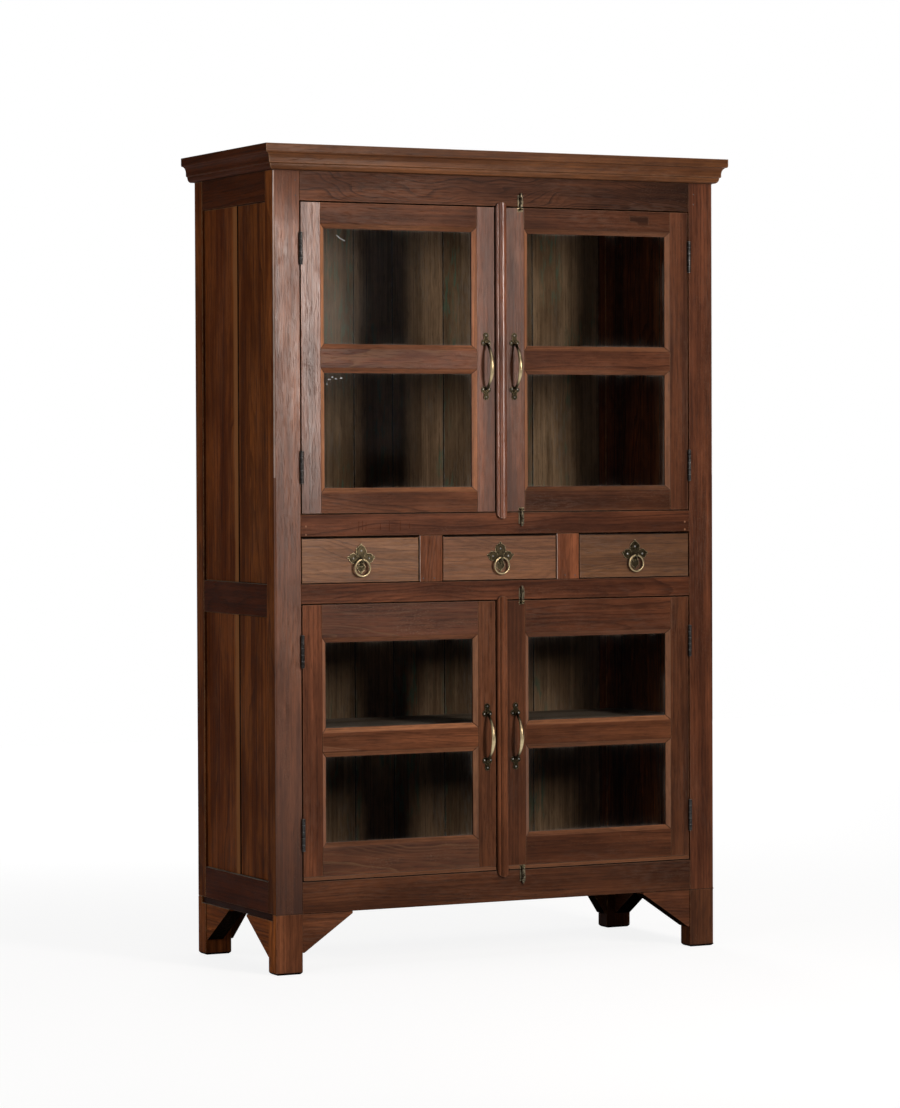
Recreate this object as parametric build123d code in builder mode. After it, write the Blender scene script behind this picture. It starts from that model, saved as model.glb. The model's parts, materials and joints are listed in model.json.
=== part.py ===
from build123d import *
import os
from math import cos, radians, sin

os.makedirs("parts", exist_ok=True)

# Carcass
carcass_width = 1067.0
carcass_depth = 425.0
post_width = 61.0
post_depth = 42.0
rail_depth = 30.0
joint_gap = 0.3
overrun = 5.0

# Heights of the front, from the floor up
foot_height = 128.0
bottom_rail_height = 67.0
lower_opening_height = 588.0
lower_mid_rail_height = 42.0
drawer_opening_height = 100.0
upper_mid_rail_height = 47.0
upper_opening_height = 661.0
frieze_height = 64.0
cornice_height = 53.0

# Feet, their corner brackets and the battens housed between them
foot_ease = 4.0
bracket_thickness = 38.0
bracket_recess = 2.0
bracket_nib = 5.0
front_bracket_run = 118.0
front_bracket_drop = 83.0
side_bracket_run = 122.0
side_bracket_drop = 80.0
back_bracket_run = 62.0
back_bracket_drop = 95.0
batten_height = 14.0
batten_thickness = 22.0
batten_recess = 4.0
batten_housing = 22.0

# Sides and back
side_rail_thickness = 25.0
side_mid_rail_height = 69.0
side_board_thickness = 12.0
side_board_recess = 6.0
side_front_board_share = 0.46
board_reveal = 3.0
board_lap = 8.0
board_chamfer = 4.0
back_rail_thickness = 22.0
back_rail_height = 64.0
back_board_thickness = 10.0
back_board_width_shares = (0.151, 0.187, 0.102, 0.135, 0.126, 0.116, 0.183)
back_board_gap = 1.2

# Cornice profile, measured out from the carcass face and up from its underside
cornice_overhang = 26.0
cornice_back_overhang = 13.0
cornice_seat = 25.0
cornice_rim = 13.0
bead_foot = 3.0
bead_reach = 11.4
bead_height = 11.5
fillet_reach = 14.6
fillet_bottom = 14.0
fillet_top = 19.5
band_foot_reach = 24.0
band_foot_height = 34.5
band_bottom = 39.5
back_strip_thickness = 25.0
top_board_thickness = 18.0
top_board_play = 1.0

# Floors, shelves, cleats and drawer guides
deck_thickness = 14.0
shelf_thickness = 18.0
shelf_rise = 22.0
shelf_play = 1.5
shelf_setback = 3.0
cleat_height = 24.0
cleat_thickness = 16.0
guide_height = 22.0

# Doors
door_thickness = 24.0
door_gap = 2.0
meeting_gap = 2.5
meeting_offset = 11.0
hinge_stile = 56.0
left_meeting_stile = 52.5
right_meeting_stile = 81.5
upper_top_rail = 55.0
upper_bottom_rail = 54.0
lower_top_rail = 81.0
lower_bottom_rail = 79.0
door_mid_rail = 62.0
lipping_height = 8.0
splay_width = 11.0
splay_depth = 7.0
glass_lip = 3.0
glass_thickness = 3.0
glass_rebate = 8.0
glass_play = 1.0
glazing_bead_width = 7.0
glazing_bead_depth = 9.0
glazing_bead_land = 1.5

# Astragal on the right-hand doors
astragal_width = 26.0
astragal_proud = 8.5
astragal_lap_top = 10.0
astragal_lap_bottom = 15.0
astragal_relief = 0.4
astragal_edge_share = 0.25
small_bead_share = 0.32
small_bead_height_share = 0.8
quirk_height_share = 0.4

# Butt hinges
hinge_length = 69.0
hinge_inset = 98.0
knuckle_count = 5
knuckle_radius = 3.75
knuckle_gap = 0.3
leaf_thickness = 1.1
leaf_clearance = 0.4
leaf_depth = 19.0
pin_radius = 1.6
pin_clearance = 0.05

# Bow pulls: a cast bow that springs from a three-lobed plate at each end
handle_reach = 35.0
left_pull_inset = 21.25
right_pull_inset = 45.25
upper_pull_drop = 14.0
lower_pull_drop = 1.2
bow_chord = 101.5
bow_half_angle = 61.0
bow_width = 9.6
bow_depth = 6.8
bow_width_shares = (0.56, 0.62, 0.84, 1.0, 0.84, 0.62, 0.56)
bow_depth_shares = (0.72, 0.76, 0.9, 1.0, 0.9, 0.76, 0.72)
plate_thickness = 2.2
plate_root_radius = 5.8
plate_lobe_radius = 6.4
plate_lobe_spread = 5.0
plate_tip_radius = 6.3
plate_tip_reach = 15.5
plate_neck_radius = 5.2
boss_radius = 4.6
boss_height = 3.4
boss_taper = 18.0

# Barrel bolts beside the astragals
bolt_offset = 51.5
bolt_guide_length = 25.0
bolt_lug_length = 4.5
bolt_plate_width = 12.5
bolt_plate_thickness = 1.2
bolt_plate_margin = 0.5
bolt_axis_out = 4.6
bolt_radius = 2.4
bolt_clearance = 0.08
bolt_lug_wall = 1.2
bolt_travel = 7.0
bolt_end_clearance = 0.4
bolt_tail = 4.5
bolt_knob_place = 15.5
bolt_knob_radius = 2.8
bolt_knob_neck = 1.5
bolt_knob_out = 5.0
keeper_length = 8.0
keeper_inset = 1.5
keeper_clearance = 0.35

# Drawers
divider_width = 54.5
drawer_top_gap = 2.5
drawer_side_gap = 1.6
drawer_bottom_gap = 1.6
drawer_slide_gap = 0.3
drawer_front_thickness = 19.0
drawer_side_thickness = 12.0
drawer_back_thickness = 10.0
drawer_bottom_thickness = 6.0
drawer_bottom_rise = 8.0
drawer_length = 345.0
drawer_side_drop = 12.0

# Ring pulls: a four-lobed backplate, an eye with a stud below it, and the ring that swings in the eye
ring_radius = 17.4
ring_wire_radius = 2.2
ring_eye_out = 8.5
eye_play = 0.35
eye_wall = 2.1
eye_thickness = 3.6
top_lobe_radius = 12.5
top_lobe_reach = 17.5
side_lobe_radius = 10.5
side_lobe_reach = 18.5
side_lobe_turn = 80.0
bottom_lobe_radius = 9.5
bottom_lobe_reach = 17.0
lobe_neck_width = 12.0
lobe_finial_radius = 2.6
pull_plate_thickness = 2.0
stud_radius = 4.6
stud_height = 4.0
stud_drop = 11.0

# Places worked out from the sizes above
overall_depth = handle_reach + carcass_depth + cornice_back_overhang
front_y = handle_reach - overall_depth / 2
back_y = front_y + carcass_depth
end_y = back_y + cornice_back_overhang
half_width = carcass_width / 2
opening_half = half_width - post_width
lower_bottom_z = foot_height + bottom_rail_height
lower_top_z = lower_bottom_z + lower_opening_height
drawer_bottom_z = lower_top_z + lower_mid_rail_height
drawer_top_z = drawer_bottom_z + drawer_opening_height
upper_bottom_z = drawer_top_z + upper_mid_rail_height
upper_top_z = upper_bottom_z + upper_opening_height
cornice_z = upper_top_z + frieze_height
top_z = cornice_z + cornice_height
batten_z = foot_height - batten_height
front_post_y = (front_y, front_y + post_depth)
back_post_y = (back_y - post_depth, back_y)
rail_back_y = front_y + rail_depth
back_board_y = back_y - back_board_thickness
back_rail_y = back_board_y - back_rail_thickness
glass_y = front_y + splay_depth + glass_lip
sides = ((-1, "left"), (1, "right"))


def block(x, y, z, mode=Mode.ADD):
    """A square-edged piece between two values along each axis."""
    with Locations(((x[0] + x[1]) / 2, (y[0] + y[1]) / 2, (z[0] + z[1]) / 2)):
        Box(abs(x[1] - x[0]), abs(y[1] - y[0]), abs(z[1] - z[0]), mode=mode)


def face_plane(y=front_y):
    """A plane square to the front: sketch X is the width, sketch Y is the height."""
    return Plane(origin=(0, y, 0), x_dir=(1, 0, 0), z_dir=(0, -1, 0))


def keep(piece, node):
    """Name a finished piece and write it."""
    piece.part.label = node
    export_step(piece.part, f"parts/{node}.step")


# Posts
for side, side_name in sides:
    with BuildPart() as front_post:
        block((side * opening_half, side * half_width), front_post_y, (foot_height, cornice_z))
    keep(front_post, f"front_{side_name}_post")

with BuildPart() as back_posts:
    for side, side_name in sides:
        block((side * opening_half, side * half_width), back_post_y, (foot_height, cornice_z))
keep(back_posts, "back_posts")

# Foot blocks, spliced under the posts and housed for the battens
batten_y = (front_post_y[1] - batten_housing, back_post_y[0] + batten_housing)
with BuildPart() as foot_blocks:
    for side, side_name in sides:
        for post_y in (front_post_y, back_post_y):
            block((side * opening_half, side * half_width), post_y, (0, foot_height))
    chamfer(foot_blocks.edges().group_by(Axis.Z)[0], foot_ease)
    for side, side_name in sides:
        housing_x = half_width - batten_recess - batten_thickness
        block(
            (side * housing_x, side * (half_width + overrun)),
            batten_y,
            (batten_z, foot_height + overrun),
            Mode.SUBTRACT,
        )
keep(foot_blocks, "foot_blocks")

with BuildPart() as base_battens:
    for side, side_name in sides:
        outer = half_width - batten_recess
        block((side * (outer - batten_thickness), side * outer), batten_y, (batten_z, foot_height))
keep(base_battens, "base_battens")


def bracket(corner, along, into, run, drop):
    """A three-cornered bracket under a rail, with small square nibs at its two ends."""
    upright = Vector(along).cross(Vector(0, 0, 1))
    with BuildSketch(Plane(origin=corner, x_dir=along, z_dir=upright)) as outline:
        with BuildLine():
            Polyline(
                (0, 0),
                (run, 0),
                (run, -bracket_nib),
                (bracket_nib, -drop),
                (0, -drop),
                close=True,
            )
        make_face()
    extrude(outline.sketch, amount=bracket_thickness, dir=into)


with BuildPart() as foot_brackets:
    for side, side_name in sides:
        inward = (-side, 0, 0)
        leg_x = side * opening_half
        outer_x = side * (half_width - bracket_recess)
        front_corner = (leg_x, front_y + bracket_recess, foot_height)
        bracket(front_corner, inward, (0, 1, 0), front_bracket_run, front_bracket_drop)
        back_corner = (leg_x, back_y - bracket_recess, foot_height)
        bracket(back_corner, inward, (0, -1, 0), back_bracket_run, back_bracket_drop)
        side_front_corner = (outer_x, front_post_y[1], batten_z)
        bracket(side_front_corner, (0, 1, 0), inward, side_bracket_run, side_bracket_drop)
        side_back_corner = (outer_x, back_post_y[0], batten_z)
        bracket(side_back_corner, (0, -1, 0), inward, side_bracket_run, side_bracket_drop)
keep(foot_brackets, "foot_brackets")

# Front rails and drawer dividers
front_rails = (
    ("front_bottom_rail", foot_height, lower_bottom_z),
    ("lower_mid_rail", lower_top_z, drawer_bottom_z),
    ("upper_mid_rail", drawer_top_z, upper_bottom_z),
    ("frieze_rail", upper_top_z, cornice_z),
)
for node, low, high in front_rails:
    with BuildPart() as front_rail:
        block((-opening_half, opening_half), (front_y, rail_back_y), (low, high))
    keep(front_rail, node)

drawer_names = ("left", "middle", "right")
drawer_opening_width = (2 * opening_half - (len(drawer_names) - 1) * divider_width) / len(drawer_names)
drawer_pitch = drawer_opening_width + divider_width
divider_lefts = [
    -opening_half + drawer_opening_width + place * drawer_pitch for place in range(len(drawer_names) - 1)
]
with BuildPart() as drawer_dividers:
    for left in divider_lefts:
        block((left, left + divider_width), (front_y, rail_back_y), (drawer_bottom_z, drawer_top_z))
keep(drawer_dividers, "drawer_dividers")

# Side rails
side_rail_levels = (
    (foot_height, lower_bottom_z),
    (drawer_bottom_z - side_mid_rail_height, drawer_bottom_z),
    (upper_top_z, cornice_z),
)
with BuildPart() as side_rails:
    for side, side_name in sides:
        for level in side_rail_levels:
            inner = half_width - side_rail_thickness
            block((side * inner, side * half_width), (front_post_y[1], back_post_y[0]), level)
keep(side_rails, "side_rails")

# Side boards: two lapped boards stand in each panel, set back from the face of the rails
board_outer = half_width - side_board_recess
board_middle = board_outer - side_board_thickness / 2
board_inner = board_outer - side_board_thickness
panel_front_y = front_post_y[1]
panel_back_y = back_post_y[0]
split_y = panel_front_y + side_front_board_share * (panel_back_y - panel_front_y)
side_panels = (
    (side_rail_levels[0][1], side_rail_levels[1][0]),
    (side_rail_levels[1][1], side_rail_levels[2][0]),
)
front_board_outline = (
    (board_outer, panel_front_y),
    (board_outer, split_y),
    (board_middle, split_y),
    (board_middle, split_y + board_lap),
    (board_inner, split_y + board_lap),
    (board_inner, panel_front_y),
)
rear_board_outline = (
    (board_outer, split_y + board_reveal + board_chamfer),
    (board_outer - board_chamfer, split_y + board_reveal),
    (board_middle + joint_gap, split_y + board_reveal),
    (board_middle + joint_gap, split_y + board_lap + joint_gap),
    (board_inner, split_y + board_lap + joint_gap),
    (board_inner, panel_back_y),
    (board_outer, panel_back_y),
)
with BuildPart() as side_boards:
    for side, side_name in sides:
        for low, high in side_panels:
            with BuildSketch(Plane.XY.offset(low)):
                for outline in (front_board_outline, rear_board_outline):
                    with BuildLine():
                        Polyline([(side * x, y) for x, y in outline], close=True)
                    make_face()
            extrude(amount=high - low)
keep(side_boards, "side_boards")

# Back rails and half-lapped back boards of uneven widths
back_rail_tops = (lower_bottom_z, upper_bottom_z, cornice_z)
with BuildPart() as back_rails:
    for top in back_rail_tops:
        block((-opening_half, opening_half), (back_rail_y, back_board_y), (top - back_rail_height, top))
keep(back_rails, "back_rails")

back_lap_y = back_y - back_board_thickness / 2
back_board_count = len(back_board_width_shares)
back_board_edges = [
    opening_half * (2 * sum(back_board_width_shares[:place]) / sum(back_board_width_shares) - 1)
    for place in range(back_board_count + 1)
]
with BuildPart() as back_boards:
    with BuildSketch(Plane.XY.offset(foot_height)):
        for place in range(back_board_count):
            left, right = back_board_edges[place : place + 2]
            outline = [(left, back_board_y)]
            if place < back_board_count - 1:
                right -= back_board_gap
                lap_y = back_lap_y + joint_gap
                outline += [(right, back_board_y), (right, lap_y), (right + board_lap, lap_y)]
                outline += [(right + board_lap, back_y)]
            else:
                outline += [(right, back_board_y), (right, back_y)]
            if place > 0:
                outline += [(left + board_lap, back_y), (left + board_lap, back_lap_y), (left, back_lap_y)]
            else:
                outline += [(left, back_y)]
            with BuildLine():
                Polyline(outline, close=True)
            make_face()
    extrude(amount=cornice_z - foot_height)
keep(back_boards, "back_boards")


# Cornice: one moulding, mitred at the two front corners, and a plain strip across the back
def arc_between(start, end, hollow):
    """A quarter of an ellipse that leaves start upright when hollow, and level when not."""
    wide = end[0] - start[0]
    tall = end[1] - start[1]
    if hollow:
        EllipticalCenterArc((end[0], start[1]), wide, tall, start_angle=90, arc_size=90)
    else:
        EllipticalCenterArc((start[0], end[1]), wide, tall, start_angle=270, arc_size=90)


def cornice_run(plane, length, mitres):
    """One straight run of the moulding, cut at its mitre planes."""
    seat_top = cornice_height - top_board_thickness
    band_bottom_point = (cornice_overhang, band_bottom)
    with BuildPart() as run:
        with BuildSketch(plane):
            with BuildLine():
                Line((-cornice_seat, 0), (bead_foot, 0))
                arc_between((bead_foot, 0), (bead_reach, bead_height), hollow=False)
                Polyline((bead_reach, bead_height), (fillet_reach, fillet_bottom), (fillet_reach, fillet_top))
                arc_between((fillet_reach, fillet_top), (band_foot_reach, band_foot_height), hollow=True)
                arc_between((band_foot_reach, band_foot_height), band_bottom_point, hollow=False)
                Polyline(
                    band_bottom_point,
                    (cornice_overhang, cornice_height),
                    (-cornice_rim, cornice_height),
                    (-cornice_rim, seat_top),
                    (-cornice_seat, seat_top),
                    (-cornice_seat, 0),
                )
            make_face()
        extrude(amount=length)
        for mitre in mitres:
            split(bisect_by=mitre, keep=Keep.TOP)
    return run.part


def mitre_plane(side, normal):
    """The upright plane through a front corner, set back by half a joint."""
    away = Vector(normal).normalized()
    corner = Vector(side * half_width, front_y, cornice_z)
    return Plane(origin=corner + away * (joint_gap / 2), z_dir=away)


front_run_length = carcass_width + 2 * cornice_overhang
side_run_length = end_y - front_y + cornice_overhang
front_run_plane = Plane(
    origin=(front_run_length / 2, front_y, cornice_z), x_dir=(0, -1, 0), z_dir=(-1, 0, 0)
)
left_run_plane = Plane(
    origin=(-half_width, front_y - cornice_overhang, cornice_z), x_dir=(-1, 0, 0), z_dir=(0, 1, 0)
)
right_run_plane = Plane(origin=(half_width, end_y, cornice_z), x_dir=(1, 0, 0), z_dir=(0, -1, 0))
front_mitres = [mitre_plane(-1, (1, -1, 0)), mitre_plane(1, (-1, -1, 0))]
strip_half = half_width - cornice_seat - joint_gap
with BuildPart() as cornice:
    add(cornice_run(front_run_plane, front_run_length, front_mitres))
    add(cornice_run(left_run_plane, side_run_length, [mitre_plane(-1, (-1, 1, 0))]))
    add(cornice_run(right_run_plane, side_run_length, [mitre_plane(1, (1, 1, 0))]))
    strip_y = (end_y - back_strip_thickness, end_y)
    block((-strip_half, strip_half), strip_y, (cornice_z, top_z - top_board_thickness))
keep(cornice, "cornice")

top_board_half = half_width - cornice_rim - top_board_play
top_board_y = (front_y + cornice_rim + top_board_play, end_y)
with BuildPart() as top_board:
    block((-top_board_half, top_board_half), top_board_y, (top_z - top_board_thickness, top_z))
keep(top_board, "top_board")

# Floors, notched round the posts
deck_half = half_width - side_rail_thickness
with BuildPart() as floors:
    for top in (lower_bottom_z, drawer_bottom_z, upper_bottom_z):
        block((-deck_half, deck_half), (rail_back_y, back_rail_y), (top - deck_thickness, top))
    for side, side_name in sides:
        for post_y in (front_post_y, back_post_y):
            block((side * opening_half, side * half_width), post_y, (foot_height, cornice_z), Mode.SUBTRACT)
keep(floors, "floors")

# Shelves on cleats, level with the middle rails of the doors
lower_mid_z = lower_bottom_z + (lower_bottom_rail + lower_opening_height - lower_top_rail) / 2
upper_mid_z = upper_bottom_z + (upper_bottom_rail + upper_opening_height - upper_top_rail) / 2
shelf_y = (front_post_y[1] + shelf_setback, back_post_y[0] - shelf_setback)
shelf_half = board_inner - shelf_play
with BuildPart() as shelves:
    for middle in (lower_mid_z, upper_mid_z):
        top = middle + shelf_rise
        block((-shelf_half, shelf_half), shelf_y, (top - shelf_thickness, top))
keep(shelves, "shelves")

with BuildPart() as shelf_cleats:
    for middle in (lower_mid_z, upper_mid_z):
        top = middle + shelf_rise - shelf_thickness
        for side, side_name in sides:
            cleat_x = (side * (board_inner - cleat_thickness), side * board_inner)
            block(cleat_x, shelf_y, (top - cleat_height, top))
keep(shelf_cleats, "shelf_cleats")

# Drawer guides: one behind each divider and one beside each post
guide_y = (front_post_y[1], back_post_y[0])
guide_spans = [(left, left + divider_width) for left in divider_lefts]
guide_spans += [(-deck_half, -opening_half), (opening_half, deck_half)]
with BuildPart() as drawer_guides:
    for span in guide_spans:
        block(span, guide_y, (drawer_bottom_z, drawer_bottom_z + guide_height))
keep(drawer_guides, "drawer_guides")


# Doors
def sketch_outline(points):
    """A closed straight-sided outline in the current sketch."""
    with BuildLine() as outline:
        Polyline(points, close=True)
    make_face(outline.edges())


def splayed_cut(x, z, near_y, near_width, far_y):
    """Cut a splay round a pane: wide at near_y, down to the sight edge at far_y."""
    centre = ((x[0] + x[1]) / 2, (z[0] + z[1]) / 2)
    sections = []
    for y, margin in ((near_y, near_width), (far_y, 0)):
        with BuildSketch(face_plane(y)) as section:
            with Locations(centre):
                Rectangle(x[1] - x[0] + 2 * margin, z[1] - z[0] + 2 * margin)
        sections.append(section.sketch)
    loft(sections, ruled=True, mode=Mode.SUBTRACT)


def sight_edges(door):
    """The visible edges of the two panes: their span in X, and each one's span in Z."""
    low, high = door["z"]
    span = (door["x"][0] + door["stiles"][0], door["x"][1] - door["stiles"][1])
    pane_height = (high - low - door["top_rail"] - door["bottom_rail"] - door_mid_rail) / 2
    lower = (low + door["bottom_rail"], low + door["bottom_rail"] + pane_height)
    upper = (high - door["top_rail"] - pane_height, high - door["top_rail"])
    return span, (lower, upper)


def door_frame(door):
    """Two stiles and three rails whose splayed edges meet in mitres, and any lipping."""
    x, z = door["x"], door["z"]
    sight, (lower, upper) = sight_edges(door)
    flat = (sight[0] - splay_width, sight[1] + splay_width)
    base = z[0] + (door["lipping"] + joint_gap if door["lipping"] else 0)
    with BuildPart() as frame:
        with BuildSketch(face_plane()):
            for end in (0, 1):
                stile = [(x[end], base), (x[end], z[1]), (flat[end], z[1])]
                for pane in (upper, lower):
                    stile += [
                        (flat[end], pane[1] + splay_width),
                        (sight[end], pane[1]),
                        (sight[end], pane[0]),
                        (flat[end], pane[0] - splay_width),
                    ]
                sketch_outline(stile + [(flat[end], base)])
            flat_in = (flat[0] + joint_gap, flat[1] - joint_gap)
            sight_in = (sight[0] + joint_gap, sight[1] - joint_gap)
            sketch_outline(
                [
                    (flat_in[0], z[1]),
                    (flat_in[1], z[1]),
                    (flat_in[1], upper[1] + splay_width),
                    (sight_in[1], upper[1]),
                    (sight_in[0], upper[1]),
                    (flat_in[0], upper[1] + splay_width),
                ]
            )
            sketch_outline(
                [
                    (flat_in[0], upper[0] - splay_width),
                    (sight_in[0], upper[0]),
                    (sight_in[1], upper[0]),
                    (flat_in[1], upper[0] - splay_width),
                    (flat_in[1], lower[1] + splay_width),
                    (sight_in[1], lower[1]),
                    (sight_in[0], lower[1]),
                    (flat_in[0], lower[1] + splay_width),
                ]
            )
            sketch_outline(
                [
                    (flat_in[0], base),
                    (flat_in[0], lower[0] - splay_width),
                    (sight_in[0], lower[0]),
                    (sight_in[1], lower[0]),
                    (flat_in[1], lower[0] - splay_width),
                    (flat_in[1], base),
                ]
            )
            if door["lipping"]:
                top = z[0] + door["lipping"]
                sketch_outline([(x[0], z[0]), (x[1], z[0]), (x[1], top), (x[0], top)])
        extrude(amount=-door_thickness)
        for pane in (lower, upper):
            splayed_cut(sight, pane, front_y, splay_width, front_y + splay_depth)
            block(
                (sight[0] - glass_rebate, sight[1] + glass_rebate),
                (glass_y, front_y + door_thickness + overrun),
                (pane[0] - glass_rebate, pane[1] + glass_rebate),
                Mode.SUBTRACT,
            )
    return frame


def door_panes(door):
    """Two sheets of glass, seated against the lips of the frame."""
    sight, panes = sight_edges(door)
    cover = glass_rebate - glass_play
    with BuildPart() as glass:
        for pane in panes:
            block(
                (sight[0] - cover, sight[1] + cover),
                (glass_y, glass_y + glass_thickness),
                (pane[0] - cover, pane[1] + cover),
            )
    return glass


def glazing_beads(door):
    """Bevelled strips that hold the glass from behind, two long and two short to a pane."""
    sight, panes = sight_edges(door)
    bead_y = (glass_y + glass_thickness, glass_y + glass_thickness + glazing_bead_depth)
    outer = glass_rebate - glass_play
    inner = outer - glazing_bead_width
    with BuildPart() as beads:
        for pane in panes:
            tall = (pane[0] - outer, pane[1] + outer)
            for edge, way in ((sight[0], -1), (sight[1], 1)):
                block((edge + way * inner, edge + way * outer), bead_y, tall)
            between = (sight[0] - inner + joint_gap, sight[1] + inner - joint_gap)
            for edge, way in ((pane[0], -1), (pane[1], 1)):
                block(between, bead_y, (edge + way * inner, edge + way * outer))
        for pane in panes:
            bevel = glazing_bead_width - glazing_bead_land
            splayed_cut(sight, pane, bead_y[1], bevel, bead_y[0])
    return beads


def astragal(door):
    """A two-bead moulding with rounded ends, planted on the meeting stile over the rails."""
    left = door["x"][0]
    low, high = door["z"][0] - astragal_lap_bottom, door["z"][1] + astragal_lap_top
    edge = astragal_edge_share * astragal_proud
    quirk = (small_bead_share * astragal_width, quirk_height_share * astragal_proud)
    small_top = (quirk[0] / 2, small_bead_height_share * astragal_proud)
    main_top = ((quirk[0] + astragal_width) / 2, astragal_proud)
    across = Plane(origin=(left, front_y, low), x_dir=(1, 0, 0), z_dir=(0, 0, -1))
    with BuildPart() as moulding:
        with BuildSketch(across):
            with BuildLine():
                Line((0, 0), (0, edge))
                ThreePointArc((0, edge), small_top, quirk)
                ThreePointArc(quirk, main_top, (astragal_width, edge))
                Polyline((astragal_width, edge), (astragal_width, 0), (0, 0))
            make_face()
        extrude(amount=low - high)
        with BuildSketch(face_plane()):
            with Locations((left + astragal_width / 2, (low + high) / 2)):
                SlotOverall(high - low, astragal_width, rotation=90)
        extrude(amount=astragal_proud + overrun, both=True, mode=Mode.INTERSECT)
        for end in ((low - overrun, door["z"][0]), (door["z"][1], high + overrun)):
            block(
                (left - overrun, left + astragal_width + overrun),
                (front_y - astragal_relief, front_y + overrun),
                end,
                Mode.SUBTRACT,
            )
    return moulding


def bow_pull(x, z):
    """A cast pull: two three-lobed plates, a boss on each, and a bow swelling to its middle."""
    half_chord = bow_chord / 2
    bow_radius = half_chord / sin(radians(bow_half_angle))
    middle_out = handle_reach - bow_depth / 2
    sections = len(bow_width_shares)
    with BuildPart() as pull:
        for way in (-1, 1):
            root_z = z + way * half_chord
            with BuildSketch(face_plane()):
                with Locations((x, root_z)):
                    Circle(plate_root_radius)
                with Locations((x - plate_lobe_spread, root_z), (x + plate_lobe_spread, root_z)):
                    Circle(plate_lobe_radius)
                with Locations((x, root_z + way * plate_tip_reach / 2)):
                    Circle(plate_neck_radius)
                with Locations((x, root_z + way * plate_tip_reach)):
                    Circle(plate_tip_radius)
            extrude(amount=plate_thickness)
            with BuildSketch(face_plane(front_y - plate_thickness)):
                with Locations((x, root_z)):
                    Circle(boss_radius)
            extrude(amount=boss_height, taper=boss_taper)
        for place in range(sections):
            turn = radians(bow_half_angle * (2 * place / (sections - 1) - 1))
            out = middle_out - bow_radius * (1 - cos(turn))
            station = Plane(
                origin=(x, front_y - out, z + bow_radius * sin(turn)),
                x_dir=(1, 0, 0),
                z_dir=(0, sin(turn), cos(turn)),
            )
            with BuildSketch(station):
                Ellipse(bow_width * bow_width_shares[place] / 2, bow_depth * bow_depth_shares[place] / 2)
        loft()
    return pull


def knuckle_spans(z, owner):
    """The height of each knuckle that belongs to the post leaf (0) or the door leaf (1)."""
    pitch = hinge_length / knuckle_count
    bottom = z - hinge_length / 2
    for place in range(owner, knuckle_count, 2):
        yield bottom + place * pitch + knuckle_gap / 2, bottom + (place + 1) * pitch - knuckle_gap / 2


hinge_gap = 2 * leaf_thickness + leaf_clearance
hinge_x = opening_half - hinge_gap / 2
hinge_y = front_y - knuckle_radius - knuckle_gap


def hinge_leaf(side, z, owner):
    """One leaf of a butt hinge: a plate in the joint and its share of the knuckles."""
    if owner == 0:
        plate_x = (side * opening_half, side * (opening_half - leaf_thickness))
    else:
        plate_x = (side * (opening_half - hinge_gap), side * (opening_half - hinge_gap + leaf_thickness))
    plate_y = (front_y + knuckle_gap, front_y + leaf_depth)
    block(plate_x, plate_y, (z - hinge_length / 2, z + hinge_length / 2))
    for low, high in knuckle_spans(z, owner):
        block(plate_x, (hinge_y, front_y + knuckle_gap), (low, high))
        with BuildSketch(Plane.XY.offset(low)) as knuckle:
            with Locations((side * hinge_x, hinge_y)):
                Circle(knuckle_radius)
        extrude(knuckle.sketch, amount=high - low)
    with Locations((side * hinge_x, hinge_y, z)):
        Cylinder(pin_radius + pin_clearance, hinge_length + overrun, mode=Mode.SUBTRACT)


meeting_left = -meeting_offset - meeting_gap / 2
meeting_right = -meeting_offset + meeting_gap / 2
door_edge = opening_half - hinge_gap
tiers = (
    {
        "name": "upper",
        "z": (upper_bottom_z + door_gap, upper_top_z - door_gap),
        "top_rail": upper_top_rail,
        "bottom_rail": upper_bottom_rail,
        "lipping": 0,
        "pull_z": upper_mid_z - upper_pull_drop,
    },
    {
        "name": "lower",
        "z": (lower_bottom_z + door_gap, lower_top_z - door_gap),
        "top_rail": lower_top_rail,
        "bottom_rail": lower_bottom_rail,
        "lipping": lipping_height,
        "pull_z": lower_mid_z - lower_pull_drop,
    },
)
doors = []
for tier in tiers:
    for side, side_name in sides:
        door = dict(tier, side=side, name=f"{tier['name']}_{side_name}_door")
        door["hinges"] = (door["z"][0] + hinge_inset, door["z"][1] - hinge_inset)
        if side < 0:
            door["x"] = (-door_edge, meeting_left)
            door["stiles"] = (hinge_stile, left_meeting_stile)
            door["pull_x"] = meeting_left - left_pull_inset
        else:
            door["x"] = (meeting_right, door_edge)
            door["stiles"] = (right_meeting_stile, hinge_stile)
            door["pull_x"] = meeting_right + right_pull_inset
        doors.append(door)

for door in doors:
    keep(door_frame(door), f"{door['name']}_frame")
    keep(door_panes(door), f"{door['name']}_panes")
    keep(glazing_beads(door), f"{door['name']}_glazing_beads")
    keep(bow_pull(door["pull_x"], door["pull_z"]), f"{door['name']}_pull")
    with BuildPart() as door_leaves:
        for z in door["hinges"]:
            hinge_leaf(door["side"], z, 1)
    keep(door_leaves, f"{door['name']}_hinge_leaves")
    if door["side"] > 0:
        keep(astragal(door), f"{door['name']}_astragal")

with BuildPart() as post_hinge_leaves:
    for door in doors:
        for z in door["hinges"]:
            hinge_leaf(door["side"], z, 0)
    for door in doors:
        for z in door["hinges"]:
            with Locations((door["side"] * hinge_x, hinge_y, z)):
                Cylinder(pin_radius, hinge_length)
keep(post_hinge_leaves, "post_hinge_leaves")


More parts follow.
